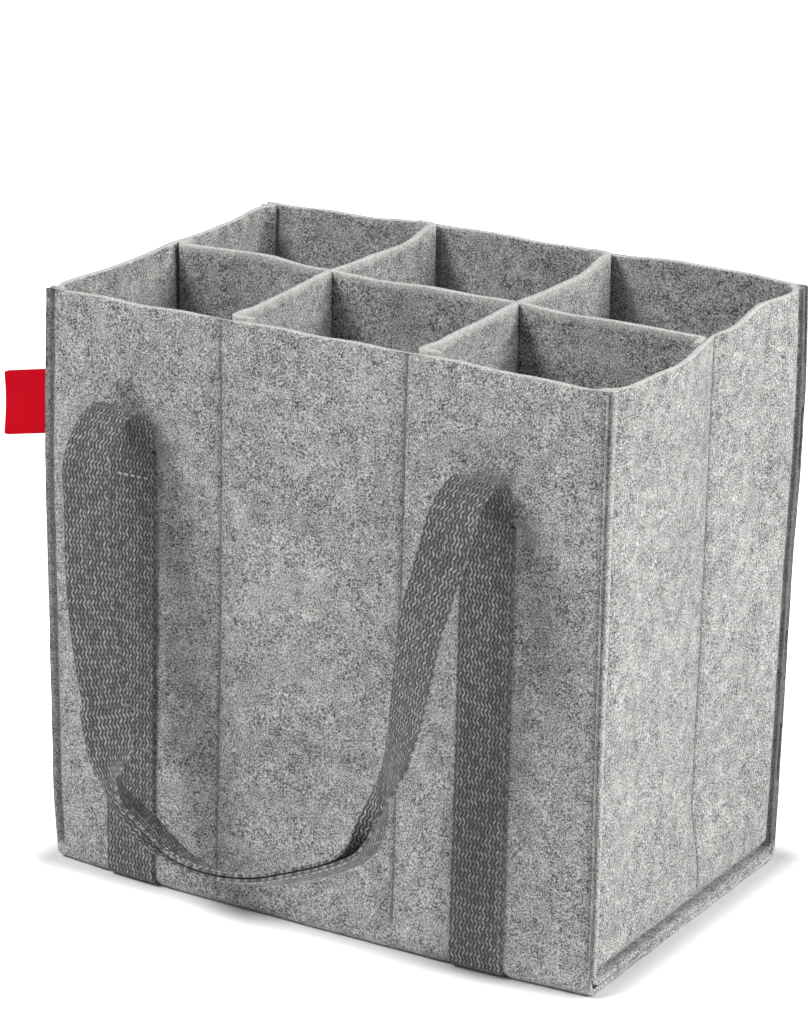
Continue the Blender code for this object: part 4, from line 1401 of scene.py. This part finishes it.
pick_edges(lambda a, b: abs(a.z - b.z) > 0.01)
bpy.ops.mesh.subdivide(number_cuts=15)
close_edit()
apply_modifier(label, "SOLIDIFY", thickness=TAPE, offset=0.0)
apply_modifier(
    label, "BEVEL", width=TAPE * 0.35, segments=2, limit_method="ANGLE", angle_limit=math.radians(50)
)
points = read_points(label)
flat = points.copy()
write_points(label, points[:, [0, 2, 1]])
map_flat(label)
reach = np.clip((label_high.x - 0.004 - flat[:, 0]) / 0.022, 0, 1)
height_share = (flat[:, 2] - label_low.z) / (label_high.z - label_low.z)
flat[:, 1] += 0.0012 * reach**2 * np.sin(height_share * math.pi) - 0.0006 * reach
corner = np.clip((fold_x + 0.0012 - flat[:, 0]) / 0.0012, 0, 1)
middle_z = (label_low.z + label_high.z) / 2
flat[:, 2] = middle_z + (flat[:, 2] - middle_z) * (1 - 0.035 * corner**2)
flat[:, 2] -= LABEL_DROOP * np.clip(-HALF_WIDTH - flat[:, 0], 0, None)
write_points(label, flat)
settle(label)
finish_webbing(label, tape)
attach(label, "bag")
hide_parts("label")
print("label", len(label.data.polygons), "faces")

# %% [markdown]
# ## Light, floor and white surround
# The photograph is lit by large soft lights: one high in front on the left, and a
# stronger one on the right, which makes the side paler than the front. The world
# gives a little even light. What the camera sees beyond the bag is plain white.

# %% Studio
WORLD_LIGHT = 0.17
SHADOW_FROM = 0.001
SHADOW_TO = 0.026


def soft_light(name, place, target, size, power):
    """A square area lamp that looks at a place."""
    bpy.ops.object.light_add(type="AREA", location=place)
    lamp = bpy.context.object
    lamp.name = name
    lamp.data.size = size
    lamp.data.energy = power
    lamp.rotation_euler = (Vector(target) - Vector(place)).to_track_quat("-Z", "Y").to_euler()
    return lamp


def seen_directly(tree):
    """1 for what the camera sees, also in gloss and through glass, and 0 for light on the bag."""
    rays = add_node(tree, "ShaderNodeLightPath")
    seen = calculate(tree, "MAXIMUM", rays.outputs["Is Camera Ray"], rays.outputs["Is Glossy Ray"])
    return calculate(tree, "MAXIMUM", seen, rays.outputs["Is Transmission Ray"])


BAG_MIDDLE = (0.0, 0.0, 0.13)
soft_light("front_left_light", (-1.1, -1.5, 2.2), BAG_MIDDLE, 0.9, 53.0)
soft_light("right_light", (2.3, 0.45, 1.3), BAG_MIDDLE, 1.2, 59.0)

world = bpy.data.worlds.new("studio")
bpy.context.scene.world = world
world.use_nodes = True
tree = world.node_tree
background = tree.nodes["Background"]
background.inputs["Color"].default_value = (1.0, 1.0, 1.0, 1.0)
strength = calculate(tree, "MULTIPLY_ADD", seen_directly(tree), 1.0 - WORLD_LIGHT, WORLD_LIGHT)
tree.links.new(strength, background.inputs["Strength"])

bpy.ops.mesh.primitive_plane_add(size=8.0)
floor = bpy.context.object
floor.name = "floor"
paper, tree, shader = make_surface("floor_paper")
place = object_place(tree)
grain = noise(tree, place, 400.0, 2.0)
colour = mix_colours(tree, grain, (0.90, 0.90, 0.90), (0.93, 0.93, 0.93))
tree.links.new(colour, shader.inputs["Base Color"])
shader.inputs["Roughness"].default_value = 0.9
parts = add_node(tree, "ShaderNodeSeparateXYZ", {0: place})
beyond_x = calculate(tree, "SUBTRACT", calculate(tree, "ABSOLUTE", parts.outputs[0]), HALF_WIDTH)
beyond_y = calculate(tree, "SUBTRACT", calculate(tree, "ABSOLUTE", parts.outputs[1]), HALF_DEPTH)
beyond = add_node(
    tree, "ShaderNodeCombineXYZ",
    {0: calculate(tree, "MAXIMUM", beyond_x, 0.0), 1: calculate(tree, "MAXIMUM", beyond_y, 0.0)},
)
from_bag = add_node(tree, "ShaderNodeVectorMath", {0: beyond.outputs[0]}, operation="LENGTH").outputs["Value"]
shadow_share = {0: from_bag, 1: SHADOW_FROM, 2: SHADOW_TO, 3: 0.0, 4: 1.0}
glow = add_node(tree, "ShaderNodeMapRange", shadow_share, interpolation_type="SMOOTHSTEP").outputs[0]
strength = calculate(tree, "MULTIPLY", seen_directly(tree), glow)
tree.links.new(strength, shader.inputs["Emission Strength"])
shader.inputs["Emission Color"].default_value = (1.0, 1.0, 1.0, 1.0)
floor.data.materials.append(paper)
floor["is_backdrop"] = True

# %% [markdown]
# The dressed bag may stand a little proud of the solids, as soft felt does. Both
# boxes are written down so that they can be compared.

# %% Size and finish
VISUAL_BOX = [list(corner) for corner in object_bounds()]
for name, low, high in (("CAD", *CAD_BOX), ("visual", *VISUAL_BOX)):
    print(name, "box, mm:", [round((b - a) * 1000, 1) for a, b in zip(low, high)])
